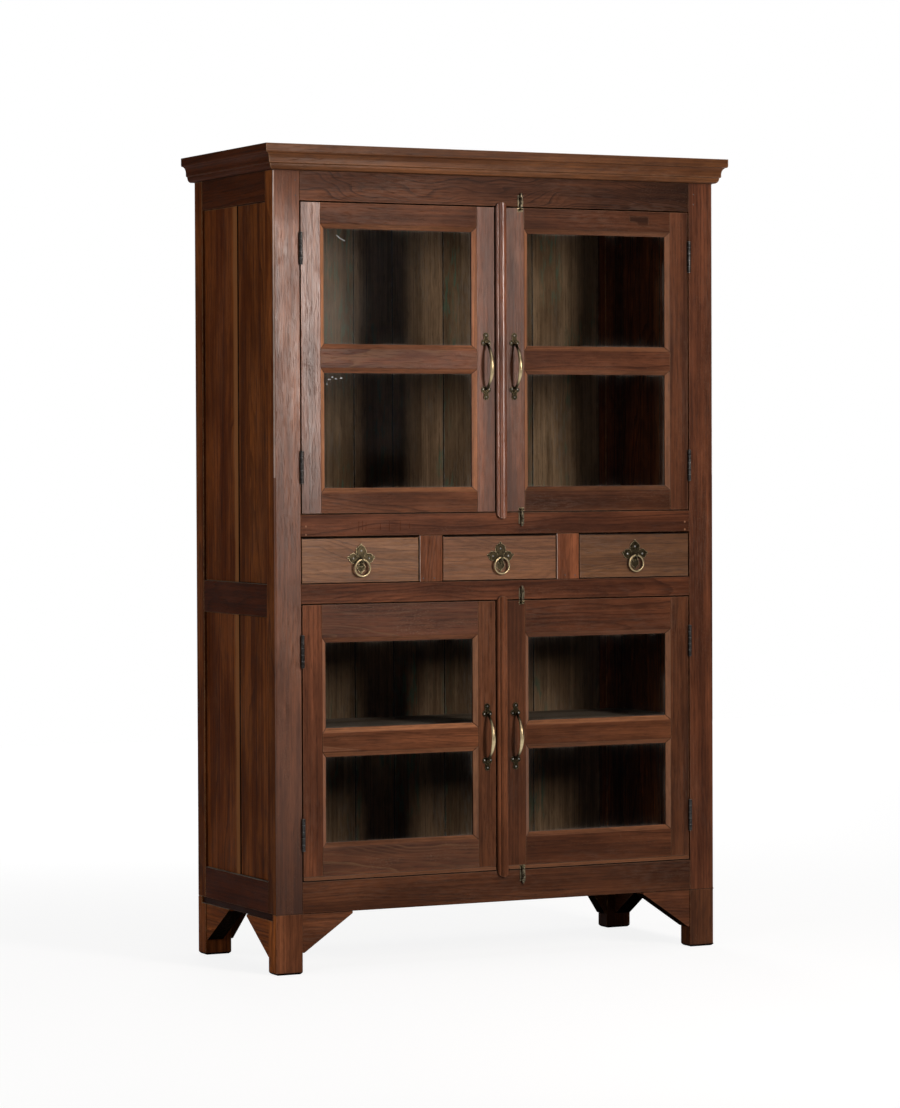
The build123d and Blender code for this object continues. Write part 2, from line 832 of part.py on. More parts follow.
# Barrel bolts: guides on the rails, rods in them, keepers on the right-hand doors
def bolt_lug(low, high, clearance):
    """A bored lug standing on the face between two heights."""
    lug_radius = bolt_radius + clearance + bolt_lug_wall
    across = Plane(origin=(bolt_offset, front_y, low), x_dir=(1, 0, 0), z_dir=(0, 0, -1))
    with BuildSketch(across) as lug:
        with Locations((0, bolt_axis_out)):
            Circle(lug_radius)
        with Locations((0, bolt_axis_out / 2)):
            Rectangle(2 * lug_radius, bolt_axis_out)
        with Locations((0, bolt_axis_out)):
            Circle(bolt_radius + clearance, mode=Mode.SUBTRACT)
    extrude(lug.sketch, amount=low - high)


def bolt_plate(low, high):
    """The thin plate under the lugs."""
    half = bolt_plate_width / 2
    plate_y = (front_y - bolt_plate_thickness, front_y)
    block((bolt_offset - half, bolt_offset + half), plate_y, (low, high))


bolts = (
    ("upper_top_bolt", "upper", upper_top_z, 1),
    ("upper_bottom_bolt", "upper", upper_bottom_z, -1),
    ("lower_top_bolt", "lower", lower_top_z, 1),
    ("lower_bottom_bolt", "lower", lower_bottom_z, -1),
)
with BuildPart() as bolt_guides:
    for node, tier, edge, way in bolts:
        plate_ends = (edge + way * bolt_plate_margin, edge + way * bolt_guide_length)
        bolt_plate(min(plate_ends), max(plate_ends))
        for start in (bolt_plate_margin, bolt_guide_length - bolt_lug_length):
            lug_ends = (edge + way * start, edge + way * (start + bolt_lug_length))
            bolt_lug(min(lug_ends), max(lug_ends), bolt_clearance)
keep(bolt_guides, "bolt_guides")

for tier in ("upper", "lower"):
    with BuildPart() as keepers:
        for node, bolt_tier, edge, way in bolts:
            if bolt_tier == tier:
                near = edge - way * (door_gap + bolt_plate_margin)
                far = near - way * keeper_length
                bolt_plate(min(near, far), max(near, far))
                lug_near = near - way * keeper_inset
                lug_far = lug_near - way * bolt_lug_length
                bolt_lug(min(lug_near, lug_far), max(lug_near, lug_far), keeper_clearance)
    keep(keepers, f"{tier}_right_door_keepers")

for node, tier, edge, way in bolts:
    tip = edge - way * (door_gap - bolt_end_clearance)
    tail = edge + way * (bolt_guide_length + bolt_tail)
    knob_z = edge + way * bolt_knob_place
    axis_y = front_y - bolt_axis_out
    knob_y = axis_y - bolt_knob_out
    with BuildPart() as bolt:
        with Locations((bolt_offset, axis_y, (tip + tail) / 2)):
            Cylinder(bolt_radius, abs(tail - tip))
        with BuildSketch(face_plane(axis_y)):
            with Locations((bolt_offset, knob_z)):
                Circle(bolt_knob_neck)
        extrude(amount=bolt_knob_out)
        with Locations((bolt_offset, knob_y, knob_z)):
            Sphere(bolt_knob_radius)
    keep(bolt, node)


# Drawers
def drawer_box(x):
    """A drawer of five boards: front, two sides, back and a bottom between them."""
    front_z = (drawer_bottom_z + drawer_bottom_gap, drawer_top_z - drawer_top_gap)
    side_z = (drawer_bottom_z + drawer_slide_gap, front_z[1] - drawer_side_drop)
    side_y = (front_y + drawer_front_thickness + joint_gap, front_y + drawer_length)
    with BuildPart() as drawer:
        block(x, (front_y, front_y + drawer_front_thickness), front_z)
        for edge, way in ((x[0], 1), (x[1], -1)):
            block((edge, edge + way * drawer_side_thickness), side_y, side_z)
        inner = (x[0] + drawer_side_thickness + joint_gap, x[1] - drawer_side_thickness - joint_gap)
        panel_z = side_z[0] + drawer_bottom_rise
        panel = (panel_z, panel_z + drawer_bottom_thickness)
        block(inner, side_y, panel)
        back_y_span = (side_y[1] - drawer_back_thickness, side_y[1])
        block(inner, back_y_span, (panel[1] + joint_gap, side_z[1]))
    return drawer


def lobe(turn, reach, radius):
    """A round lobe on a neck from the eye outwards, with a finial, turned from upright by an angle."""
    with BuildSketch(mode=Mode.PRIVATE) as blade:
        with Locations((0, reach / 2)):
            Rectangle(lobe_neck_width, reach)
        with Locations((0, reach)):
            Circle(radius)
        with Locations((0, reach + radius + lobe_finial_radius / 2)):
            Circle(lobe_finial_radius)
    return blade.sketch.rotate(Axis.Z, turn)


def pull_plate(x, z):
    """Four lobes cut from one plate, with the eye and a stud standing on it."""
    hole = ring_wire_radius + eye_play
    with BuildPart() as plate:
        outline_plane = Plane(origin=(x, front_y, z), x_dir=(1, 0, 0), z_dir=(0, -1, 0))
        with BuildSketch(outline_plane):
            add(lobe(0, top_lobe_reach, top_lobe_radius))
            add(lobe(side_lobe_turn, side_lobe_reach, side_lobe_radius))
            add(lobe(-side_lobe_turn, side_lobe_reach, side_lobe_radius))
            add(lobe(180, bottom_lobe_reach, bottom_lobe_radius))
        extrude(amount=pull_plate_thickness)
        across = Plane(origin=(x, front_y, z), x_dir=(0, -1, 0), z_dir=(-1, 0, 0))
        with BuildSketch(across):
            with Locations((ring_eye_out, 0)):
                Circle(hole + eye_wall)
            with Locations((ring_eye_out / 2, 0)):
                Rectangle(ring_eye_out, 2 * eye_wall)
            with Locations((ring_eye_out, 0)):
                Circle(hole, mode=Mode.SUBTRACT)
        extrude(amount=eye_thickness / 2, both=True)
        stud_axis = Axis(origin=(x, front_y, z - stud_drop), direction=(0, -1, 0))
        with BuildSketch(across):
            with BuildLine():
                EllipticalCenterArc(
                    (pull_plate_thickness, -stud_drop), stud_height, stud_radius, start_angle=0, arc_size=90
                )
                Line((pull_plate_thickness, stud_radius - stud_drop), (0, stud_radius - stud_drop))
                Line((0, stud_radius - stud_drop), (0, -stud_drop))
                Line((0, -stud_drop), (pull_plate_thickness + stud_height, -stud_drop))
            make_face()
        revolve(axis=stud_axis)
    return plate


pull_z = (drawer_bottom_z + drawer_top_z) / 2
for place, side_name in enumerate(drawer_names):
    opening_left = -opening_half + place * drawer_pitch
    drawer_x = (opening_left + drawer_side_gap, opening_left + drawer_opening_width - drawer_side_gap)
    centre_x = (drawer_x[0] + drawer_x[1]) / 2
    keep(drawer_box(drawer_x), f"{side_name}_drawer_box")
    keep(pull_plate(centre_x, pull_z), f"{side_name}_drawer_pull_plate")
    with BuildPart() as ring:
        with Locations((centre_x, front_y - ring_eye_out, pull_z - ring_radius)):
            Torus(ring_radius, ring_wire_radius, rotation=(90, 0, 0))
    keep(ring, f"{side_name}_drawer_ring")
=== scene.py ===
# %% [markdown]
# # An old teak display cabinet
#
# The cabinet arrives as a packed set of plain solids. This lesson dresses them as the aged teak,
# brass, iron and glass of the real piece. Nothing is moved or resized. Each wooden solid becomes a
# board with its own grain, and the metal and glass keep their solids and get finishes of their own.

# %% Load the packed cabinet
import json
import math

import bmesh
import bpy
from mathutils import Matrix, Vector
from mathutils.bvhtree import BVHTree


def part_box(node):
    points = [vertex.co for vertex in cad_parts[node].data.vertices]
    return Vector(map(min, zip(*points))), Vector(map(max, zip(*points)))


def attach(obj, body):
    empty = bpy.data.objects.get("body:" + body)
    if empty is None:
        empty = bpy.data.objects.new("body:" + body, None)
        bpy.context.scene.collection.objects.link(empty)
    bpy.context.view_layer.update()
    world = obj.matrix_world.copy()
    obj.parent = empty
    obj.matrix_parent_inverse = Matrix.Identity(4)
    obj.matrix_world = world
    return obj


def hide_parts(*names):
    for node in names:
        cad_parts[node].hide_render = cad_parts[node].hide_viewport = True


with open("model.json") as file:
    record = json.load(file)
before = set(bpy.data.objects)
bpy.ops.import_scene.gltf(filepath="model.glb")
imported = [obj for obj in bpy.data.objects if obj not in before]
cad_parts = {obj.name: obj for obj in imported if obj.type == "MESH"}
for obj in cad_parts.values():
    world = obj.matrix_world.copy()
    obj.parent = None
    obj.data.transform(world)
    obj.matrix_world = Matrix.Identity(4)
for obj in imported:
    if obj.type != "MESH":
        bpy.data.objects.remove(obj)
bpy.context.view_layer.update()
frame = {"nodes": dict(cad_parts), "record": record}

# %% [markdown]
# ## Camera
#
# The viewpoint was worked out from the straight edges of the cabinet: a long lens, far off to the
# left, a little above the middle of the piece. A long lens keeps the posts nearly parallel.
# The small shifts put the optical centre where it was in the picture.

# %% Camera
PICTURE_WIDTH, PICTURE_HEIGHT = 900, 1108
FOCAL_PIXELS = 3772.71
CENTRE_PIXEL = (451.479, 549.603)
CAMERA_PLACE = Vector((-3.7445, -7.4555, 1.0929))
YAW, PITCH, ROLL = 0.4636, -0.0246, -0.0039
SENSOR = 36.0
FARTHEST = 100
scene = bpy.context.scene
lens = bpy.data.cameras.new("camera")
lens.sensor_width = SENSOR
lens.lens = FOCAL_PIXELS * SENSOR / PICTURE_HEIGHT
lens.shift_x = (PICTURE_WIDTH / 2 - CENTRE_PIXEL[0]) / PICTURE_HEIGHT
lens.shift_y = (CENTRE_PIXEL[1] - PICTURE_HEIGHT / 2) / PICTURE_HEIGHT
lens.clip_end = FARTHEST
camera = bpy.data.objects.new("camera", lens)
heading = Matrix.Rotation(-YAW, 4, "Z") @ Matrix.Rotation(math.pi / 2 + PITCH, 4, "X")
camera.matrix_world = Matrix.Translation(CAMERA_PLACE) @ heading @ Matrix.Rotation(ROLL, 4, "Z")
scene.collection.objects.link(camera)
scene.camera = camera
scene.view_settings.view_transform = "Standard"
print("lens", round(lens.lens, 2), "mm")

# %% [markdown]
# ## Light
#
# The picture tells where its light stood. The doors' middle throws a soft shadow on the back boards,
# a little to the left, and the varnish shines only at the upper left: one softbox, in front of the
# right-hand doors and at the height of the upper ones, does both. A weak light overhead shades the
# frieze, and two weak ones at the left show the side and reach in to the right-hand wall behind
# the glass. Two more stand behind and at the right, only for those who walk round the cabinet. The
# room is dim, which keeps the glass dark.

# %% Lamps
ROOM_GREY = (0.018, 0.0178, 0.0175, 1)
WARM_WHITE = (1.0, 0.90, 0.84)


def aim(name, place, target, size, power, colour=(1, 1, 1)):
    """A rectangular lamp at a place, turned to a target."""
    light = bpy.data.lights.new(name, "AREA")
    light.shape = "RECTANGLE"
    light.size, light.size_y = size
    light.energy = power
    light.color = colour
    lamp = bpy.data.objects.new(name, light)
    lamp.location = place
    lamp.rotation_euler = (Vector(target) - Vector(place)).to_track_quat("-Z", "Y").to_euler()
    lamp.visible_camera = False
    scene.collection.objects.link(lamp)


world = bpy.data.worlds.new("dim_room")
world.use_nodes = True
world.node_tree.nodes["Background"].inputs["Color"].default_value = ROOM_GREY
scene.world = world
aim("softbox", (0.53, -2.85, 1.60), (0.1, -0.2, 1.70), (0.45, 1.0), 37.5, WARM_WHITE)
aim("overhead", (0.25, -1.7, 3.3), (0, -0.2, 1.4), (1.8, 1.0), 10)
aim("side_fill", (-3.6, 0.3, 1.7), (-0.5, 0, 0.9), (1.4, 1.4), 13)
aim("left_fill", (-3.2, -2.2, 1.5), (0.1, 0, 1.0), (0.8, 1.2), 11)
aim("back_fill", (0.9, 3.6, 2.0), (0, 0.2, 0.9), (1.4, 1.4), 26)
aim("right_fill", (3.5, 0.7, 1.7), (0.5, 0, 0.9), (1.4, 1.4), 13)

# %% [markdown]
# ## Small tools for shaders
#
# Finishes are node trees, and several of them share the same effects: wood figure, worn edges,
# painted shade with grime in the corners. Trees could be drawn by hand in the editor, but code can be
# read and changed. A small class keeps it short: it adds a node and feeds it from sockets or numbers,
# does arithmetic, mixes colours and makes noise. Each shared effect becomes a node group with named
# inputs, made once.

# %% Node helpers
class Sheet:
    """A node tree with short ways to add and join nodes."""

    def __init__(self, tree):
        self.tree = tree

    def feed(self, socket, value):
        """Join a socket to another, or set it; a colour may leave out its alpha."""
        if isinstance(value, bpy.types.NodeSocket):
            self.tree.links.new(value, socket)
        elif socket.type == "RGBA" and len(value) == 3:
            socket.default_value = (*value, 1)
        else:
            socket.default_value = value

    def fill(self, node, **values):
        """Feed inputs by name, with _ for a space."""
        for key, value in values.items():
            self.feed(node.inputs[key.replace("_", " ")], value)
        return node

    def add(self, kind, *values, **settings):
        """A node with its settings, its first inputs fed in order."""
        node = self.tree.nodes.new(kind)
        for key, value in settings.items():
            setattr(node, key, value)
        for socket, value in zip(node.inputs, values):
            self.feed(socket, value)
        return node

    def calc(self, operation, *values, clamp=False):
        return self.add("ShaderNodeMath", *values, operation=operation, use_clamp=clamp).outputs[0]

    def times(self, first, second, clamp=False):
        return self.calc("MULTIPLY", first, second, clamp=clamp)

    def times_add(self, first, second, third):
        return self.calc("MULTIPLY_ADD", first, second, third)

    def plus(self, first, second):
        return self.calc("ADD", first, second)

    def minus(self, first, second, clamp=False):
        return self.calc("SUBTRACT", first, second, clamp=clamp)

    def step(self, value, low, high, start=0.0, end=1.0):
        """A soft step from one value to another."""
        kind = {"interpolation_type": "SMOOTHSTEP"}
        return self.add("ShaderNodeMapRange", value, low, high, start, end, **kind).outputs["Result"]

    def vector(self, operation, *values):
        node = self.add("ShaderNodeVectorMath", *values, operation=operation)
        return node.outputs["Value" if operation in ("LENGTH", "DOT_PRODUCT") else "Vector"]

    def scaled(self, vector, factor):
        node = self.add("ShaderNodeVectorMath", operation="SCALE")
        return self.fill(node, Vector=vector, Scale=factor).outputs["Vector"]

    def coords(self, kind="Object"):
        return self.add("ShaderNodeTexCoord").outputs[kind]

    def split(self, vector):
        return self.add("ShaderNodeSeparateXYZ", vector).outputs

    def noise(self, vector, scale=1.0, detail=2.0, roughness=0.5):
        node = self.add("ShaderNodeTexNoise")
        return self.fill(node, Vector=vector, Scale=scale, Detail=detail, Roughness=roughness).outputs

    def stretched(self, vector, along, across, detail=2.0, roughness=0.5):
        """Noise that is stretched along a board."""
        place = self.vector("MULTIPLY", vector, (along, across, across))
        return self.noise(place, detail=detail, roughness=roughness)

    def mix(self, amount, first, second, blend="MIX"):
        node = self.add("ShaderNodeMix", data_type="RGBA", blend_type=blend)
        for number, value in zip((0, 6, 7), (amount, first, second)):
            self.feed(node.inputs[number], value)
        return node.outputs[2]

    def emboss(self, height, strength, depth):
        node = self.add("ShaderNodeBump")
        return self.fill(node, Strength=strength, Distance=depth, Height=height).outputs["Normal"]

    def place(self, group, **values):
        """A shared group in this tree."""
        return self.fill(self.add("ShaderNodeGroup", node_tree=group.tree), **values).outputs


print("node helpers:", len([name for name in vars(Sheet) if not name.startswith("_")]))

# %% Groups and finishes
def new_group(name, inputs, outputs):
    """An empty node group; inputs are given with their start values."""
    tree = bpy.data.node_groups.new(name, "ShaderNodeTree")
    for label, start in inputs.items():
        kind = "NodeSocketFloat" if isinstance(start, float) else "NodeSocketColor"
        socket = tree.interface.new_socket(name=label, in_out="INPUT", socket_type=kind)
        socket.default_value = start
    for label in outputs:
        kind = "NodeSocketColor" if label == "Color" else "NodeSocketFloat"
        tree.interface.new_socket(name=label, in_out="OUTPUT", socket_type=kind)
    sheet = Sheet(tree)
    return sheet, sheet.add("NodeGroupInput").outputs, sheet.add("NodeGroupOutput").inputs


def new_finish(name):
    """A new material with its sheet and its Principled shader."""
    finish = bpy.data.materials.new(name)
    finish.use_nodes = True
    return finish, Sheet(finish.node_tree), finish.node_tree.nodes["Principled BSDF"]


print("group and finish makers ready")

# %% [markdown]
# ## Floor and backdrop
#
# The floor and the backdrop are pale by their own colour, not by more light on the cabinet. They
# show that colour to the camera, to mirrors and through glass, and keep it from the scattered light,
# which a white sheet this near would throw back at the wood. In front of the cabinet the pale sheet
# ends, so the glass has a dim room to mirror. The backdrop is clear when seen from behind.

# %% Floor
FLOOR_REACH = 45
PALE, NEAR_PALE, DIM = 1.0, 0.86, 0.02
SHEET_FRONT, SHEET_FAR = (-2.75, -2.15), (0.5, 5.0)
FLOOR_GREY = 0.30
SQUARE = ((-1, -1), (1, -1), (1, 1), (-1, 1))


def flat_sheet(name, corners):
    """A flat sheet of the stage, with an empty material."""
    mesh = bpy.data.meshes.new(name)
    mesh.from_pydata(corners, [], [tuple(range(len(corners)))])
    sheet = bpy.data.objects.new(name, mesh)
    scene.collection.objects.link(sheet)
    paint = bpy.data.materials.new(name + "_paint")
    paint.use_nodes = True
    paint.node_tree.nodes.clear()
    mesh.materials.append(paint)
    return Sheet(paint.node_tree)


floor = flat_sheet("floor", [(x * FLOOR_REACH, y * FLOOR_REACH, 0) for x, y in SQUARE])
floor_y = floor.split(floor.coords())["Y"]
floor_near = floor.step(floor_y, *SHEET_FRONT, DIM, 1.0)
floor_level = floor.times(floor_near, floor.step(floor_y, *SHEET_FAR, NEAR_PALE, PALE))
floor_glow = floor.add("ShaderNodeEmission", (1, 1, 1), floor_level)
floor_matt = floor.add("ShaderNodeBsdfDiffuse", floor.times(floor_near, FLOOR_GREY))
floor_seen = floor.add("ShaderNodeAddShader", floor_glow.outputs[0], floor_matt.outputs[0])
floor_dull = floor.add("ShaderNodeBsdfDiffuse", (FLOOR_GREY, FLOOR_GREY, FLOOR_GREY))
floor_rays = floor.add("ShaderNodeLightPath").outputs
floor_looks = floor.plus(floor_rays["Is Camera Ray"], floor_rays["Is Glossy Ray"])
floor_looks = floor.calc("ADD", floor_looks, floor_rays["Is Transmission Ray"], clamp=True)
floor_mix = floor.add("ShaderNodeMixShader", floor_looks, floor_dull.outputs[0], floor_seen.outputs[0])
floor.add("ShaderNodeOutputMaterial", floor_mix.outputs[0])
print("floor:", len(floor.tree.nodes), "nodes")

# %% Backdrop
WALL_Y, WALL_TOP = 6.0, 3.2
WALL_LEFT, WALL_RIGHT = 0.7, 5.6
WALL_CORNERS = ((WALL_LEFT, 0), (WALL_RIGHT, 0), (WALL_RIGHT, WALL_TOP), (WALL_LEFT, WALL_TOP))
wall = flat_sheet("backdrop", [(x, WALL_Y, z) for x, z in WALL_CORNERS])
wall_glow = wall.add("ShaderNodeEmission", (PALE, PALE, PALE), 1.0)
wall_clear = wall.add("ShaderNodeBsdfTransparent", (1, 1, 1))
wall_side = wall.add("ShaderNodeNewGeometry").outputs["Backfacing"]
wall_mix = wall.add("ShaderNodeMixShader", wall_side, wall_glow.outputs[0], wall_clear.outputs[0])
wall.add("ShaderNodeOutputMaterial", wall_mix.outputs[0])
print("backdrop:", len(wall.tree.nodes), "nodes")

# %% [markdown]
# ## The figure of teak
#
# A board is cut from a round trunk, so its figure is a slice through long, slightly wavy cylinders.
# The group measures the distance from an imagined heart of the tree that runs nearly along the
# board, and draws a line wherever that distance passes a ring's width. Good and bad years leave
# strong and faint lines, so each ring draws its own strength. Each board has its own random number,
# so no two are alike. Every wooden piece is turned so that its own X runs along the grain.

# %% Rings
teak, t_in, t_out = new_group(
    "teak_figure",
    {
        "Pale": (0.2, 0.1, 0.06, 1), "Middle": (0.14, 0.06, 0.035, 1), "Dark": (0.05, 0.02, 0.012, 1),
        "Line": (0.05, 0.02, 0.012, 1), "Ring Width": 0.008, "Swirl": 0.07, "Figure": 0.4, "Fibre": 0.5,
        "Pores": 0.5, "Board Change": 0.2,
    },
    ["Color", "Height", "Gloss"],
)
t_place = teak.coords()
t_object = teak.add("ShaderNodeObjectInfo").outputs
t_random = t_object["Random"]
t_second = teak.calc("FRACT", teak.times(t_random, 17.31))
t_third = teak.calc("FRACT", teak.times(t_random, 41.77))
t_shifted = teak.vector("ADD", t_place, teak.scaled((37.1, 11.7, 23.3), t_random))
t_xyz = teak.split(t_place)
t_bend = teak.add("ShaderNodeSeparateColor", teak.stretched(t_shifted, 2.2, 8.0)["Color"]).outputs


def heart_distance(axis, random, reach, bend):
    """How far a point is from the heart along one cross axis, with lean and waviness."""
    lean = teak.times(t_xyz["X"], teak.times_add(random, 0.16, -0.08))
    start = teak.times_add(random, reach[1] - reach[0], reach[0])
    wave = teak.times(teak.minus(bend, 0.5), t_in["Swirl"])
    return teak.plus(teak.plus(t_xyz[axis], start), teak.plus(lean, wave))


t_y = heart_distance("Y", t_second, (-0.07, 0.07), t_bend[0])
t_z = heart_distance("Z", t_third, (0.015, 0.09), t_bend[1])
t_radius = teak.calc("SQRT", teak.plus(teak.times(t_y, t_y), teak.times(t_z, t_z)))
t_flutter = teak.stretched(t_shifted, 6.0, 40.0, detail=3.0)[0]
t_phase = teak.plus(teak.calc("DIVIDE", t_radius, t_in["Ring Width"]), teak.times(t_flutter, 1.6))
t_turn = teak.calc("FRACT", t_phase)
t_number = teak.times_add(t_random, 311.0, teak.calc("FLOOR", t_phase))
t_year = teak.fill(teak.add("ShaderNodeTexWhiteNoise", noise_dimensions="1D"), W=t_number).outputs["Value"]
t_strength = teak.times_add(teak.calc("POWER", t_year, 2.0), 0.9, 0.1)
t_rise = teak.times(teak.step(t_turn, 0.35, 0.92), teak.step(t_turn, 1.0, 0.93))
t_line = teak.times(t_rise, t_strength)
print("rings:", len(teak.tree.nodes), "nodes")

# %% [markdown]
# The colour lies on in layers: two browns in soft patches, fibre and mottle as a factor, the ring
# lines and the open pores. A painted picture could show one known board, but noise stretched along
# the grain gives each board a figure of its own. The object colour then sets the tone of a single
# board, with its alpha for a tone that fades along it. Relief and gloss use the same noises.

# %% Colour and relief of teak
t_band = teak.stretched(t_shifted, 1.1, 34.0, detail=3.0)[0]
t_cloud = teak.stretched(t_shifted, 4.0, 14.0)[0]
t_fibre = teak.stretched(t_shifted, 3.2, 240.0, detail=3.0, roughness=0.6)[0]
t_mottle = teak.stretched(t_shifted, 26.0, 110.0, detail=4.0, roughness=0.65)[0]
t_pores = teak.step(teak.stretched(t_shifted, 34.0, 800.0, detail=1.0)[0], 0.58, 0.72)
t_wave = teak.stretched(t_shifted, 8.0, 55.0)[0]
t_patch = teak.times_add(t_cloud, 0.5, teak.times(t_band, 0.5))
t_colour = teak.mix(teak.step(t_patch, 0.40, 0.60), t_in["Pale"], t_in["Middle"])
t_grey = teak.times_add(teak.minus(t_fibre, 0.5), 1.7, teak.minus(t_mottle, 0.5))
t_colour = teak.mix(1.0, t_colour, teak.times_add(t_grey, t_in["Fibre"], 1.0), "MULTIPLY")
t_colour = teak.mix(teak.times(t_line, t_in["Figure"]), t_colour, t_in["Line"])
t_colour = teak.mix(teak.times(t_pores, t_in["Pores"]), t_colour, t_in["Dark"])
t_hue = teak.times_add(t_third, 0.005, 0.4985)
t_value = teak.times_add(teak.minus(t_second, 0.5), t_in["Board Change"], 1.0)
t_tone = teak.fill(teak.add("ShaderNodeHueSaturation"), Hue=t_hue, Value=t_value, Color=t_colour)
t_fade = teak.times(t_xyz["X"], teak.times_add(t_object["Alpha"], 2.0, -2.0))
t_colour = teak.mix(1.0, t_tone.outputs["Color"], teak.plus(t_fade, 1.0), "MULTIPLY")
teak.feed(t_out["Color"], teak.mix(1.0, t_colour, t_object["Color"], "MULTIPLY"))
t_relief = teak.minus(teak.times(t_fibre, 0.6), teak.times(t_pores, 0.5))
t_relief = teak.plus(t_wave, t_relief)
teak.feed(t_out["Height"], teak.times_add(t_line, -0.15, t_relief))
teak.feed(t_out["Gloss"], teak.times_add(t_cloud, 0.5, teak.times(t_mottle, 0.5)))
print("teak figure:", len(teak.tree.nodes), "nodes")

# %% [markdown]
# ## Wear and grime
#
# Corners lose their varnish first, and dirt stays where a cloth can't reach. Both could be painted
# by hand, but they follow from the shape: the bevel node rounds the normal near an edge, and where
# that rounded normal leaves the true one there is an edge to wear. Occlusion finds the corners, and
# the darkening there is painted shade as well as grime. Noise breaks up both masks.

# %% Worn edges and painted corner shade
wear, w_in, w_out = new_group("worn_edges", {"Radius": 0.004, "Amount": 1.0, "Size": 60.0}, ["Mask"])
w_bevel = wear.add("ShaderNodeBevel", w_in["Radius"], samples=6).outputs[0]
w_normal = wear.add("ShaderNodeNewGeometry").outputs["Normal"]
w_edge = wear.minus(1.0, wear.vector("DOT_PRODUCT", w_bevel, w_normal))
w_noise = wear.noise(wear.coords(), w_in["Size"], detail=3.0)[0]
w_rough = wear.step(wear.times_add(w_edge, 3.0, wear.minus(w_noise, 0.62)), 0.0, 0.35)
w_mask = wear.times(w_rough, wear.step(w_edge, 0.004, 0.05))
wear.feed(w_out["Mask"], wear.times(w_mask, w_in["Amount"]))

# Darkens where occlusion finds corners: painted shade with grime on the wood, tarnish in the hollows of the
# metal.
corner_occlusion, g_in, g_out = new_group("occluded_corners", {"Reach": 0.02, "Amount": 1.0}, ["Mask"])
g_shade = corner_occlusion.fill(corner_occlusion.add("ShaderNodeAmbientOcclusion", samples=8), Distance=g_in["Reach"])
g_noise = corner_occlusion.noise(corner_occlusion.coords(), 38.0, detail=3.0)[0]
g_dark = corner_occlusion.minus(1.0, g_shade.outputs["AO"])
g_mask = corner_occlusion.step(corner_occlusion.times(g_dark, corner_occlusion.times_add(g_noise, 1.1, 0.45)), 0.12, 0.75)
corner_occlusion.feed(g_out["Mask"], corner_occlusion.times(g_mask, g_in["Amount"]))
print("wear and grime:", len(wear.tree.nodes) + len(corner_occlusion.tree.nodes), "nodes")

# %% [markdown]
# Handling leaves marks too: pale, cloudy rubs along the grain, dust on what faces up, a few dark
# holes and pale chips. They have no thickness that shows, so they are masks and not pieces: noise for
# the rubs, the direction of the face for the dust, and cells of a Voronoi pattern for holes and
# chips. Old green paint is left in runs along the boards at the back.

# %% Rubs, dust, holes and chips
scuff, s_in, s_out = new_group(
    "rubbed_varnish", {"Amount": 0.5, "Dust": 0.3, "Chips": 0.3}, ["Rub", "Dust", "Hole", "Chip"]
)
s_seed = scuff.scaled((5.3, 9.1, 7.7), scuff.add("ShaderNodeObjectInfo").outputs["Random"])
s_shifted = scuff.vector("ADD", scuff.coords(), s_seed)


def scuff_cells(along, across):
    """Distance from the middle of the nearest cell, for holes and chips."""
    place = scuff.vector("MULTIPLY", s_shifted, (along, across, across))
    return scuff.fill(scuff.add("ShaderNodeTexVoronoi"), Vector=place).outputs["Distance"]


s_cloud = scuff.stretched(s_shifted, 3.5, 14.0, detail=4.0)[0]
s_fine = scuff.stretched(s_shifted, 40.0, 260.0, detail=3.0)[0]
s_rub = scuff.times(scuff.step(s_cloud, 0.46, 0.70), scuff.step(s_fine, 0.38, 0.66))
scuff.feed(s_out["Rub"], scuff.times(s_rub, s_in["Amount"], clamp=True))
s_up = scuff.split(scuff.add("ShaderNodeNewGeometry").outputs["Normal"])["Z"]
s_ledge = scuff.times(scuff.step(s_up, 0.55, 0.95), scuff.step(s_cloud, 0.25, 0.55))
scuff.feed(s_out["Dust"], scuff.times(s_ledge, s_in["Dust"]))
s_hole = scuff.step(scuff_cells(55.0, 55.0), 0.11, 0.06)
scuff.feed(s_out["Hole"], scuff.times(s_hole, scuff.step(s_cloud, 0.48, 0.56)))
s_spots = scuff.step(scuff.stretched(s_shifted, 7.0, 24.0)[0], 0.50, 0.60)
s_chip = scuff.times(scuff.step(scuff_cells(45.0, 150.0), 0.24, 0.10), s_spots)
scuff.feed(s_out["Chip"], scuff.times(s_chip, s_in["Chips"]))
print("handling:", len(scuff.tree.nodes), "nodes")

# %% Old paint
paint, p_in, p_out = new_group("old_paint", {"Amount": 0.5}, ["Mask"])
p_seed = paint.scaled((3.1, 8.3, 6.7), paint.add("ShaderNodeObjectInfo").outputs["Random"])
p_place = paint.vector("ADD", paint.coords(), p_seed)
p_run = paint.stretched(p_place, 22.0, 130.0, detail=4.0, roughness=0.6)[0]
p_area = paint.stretched(p_place, 3.0, 16.0, detail=1.0)[0]
p_mask = paint.times(paint.step(p_run, 0.50, 0.64), paint.step(p_area, 0.46, 0.62))
paint.feed(p_out["Mask"], paint.times(p_mask, p_in["Amount"]))
print("shared effects:", [g.name for g in bpy.data.node_groups])

# %% [markdown]
# ## Wood finishes
#
# The wood is one kind, but each part has aged its own way. One function builds every finish from the
# shared groups: the figure first, then rubs, worn edges, dust, painted shade with grime in the corners,
# holes and chips, as the years laid them on. What only a few boards have, such as a strip of sapwood,
# old paint, or the ends of a post darkened, towards the bottom and as painted shade under the cornice
# at the top, is added where it is asked for.

# %% Wood finish maker
MM = 0.001
DUST = (0.58, 0.53, 0.46)
DIRT_AND_SHADE = (0.012, 0.008, 0.006)
CHIP = (0.46, 0.31, 0.20)
GREEN_PAINT = (0.085, 0.20, 0.135)
SAPWOOD = (0.50, 0.195, 0.066)
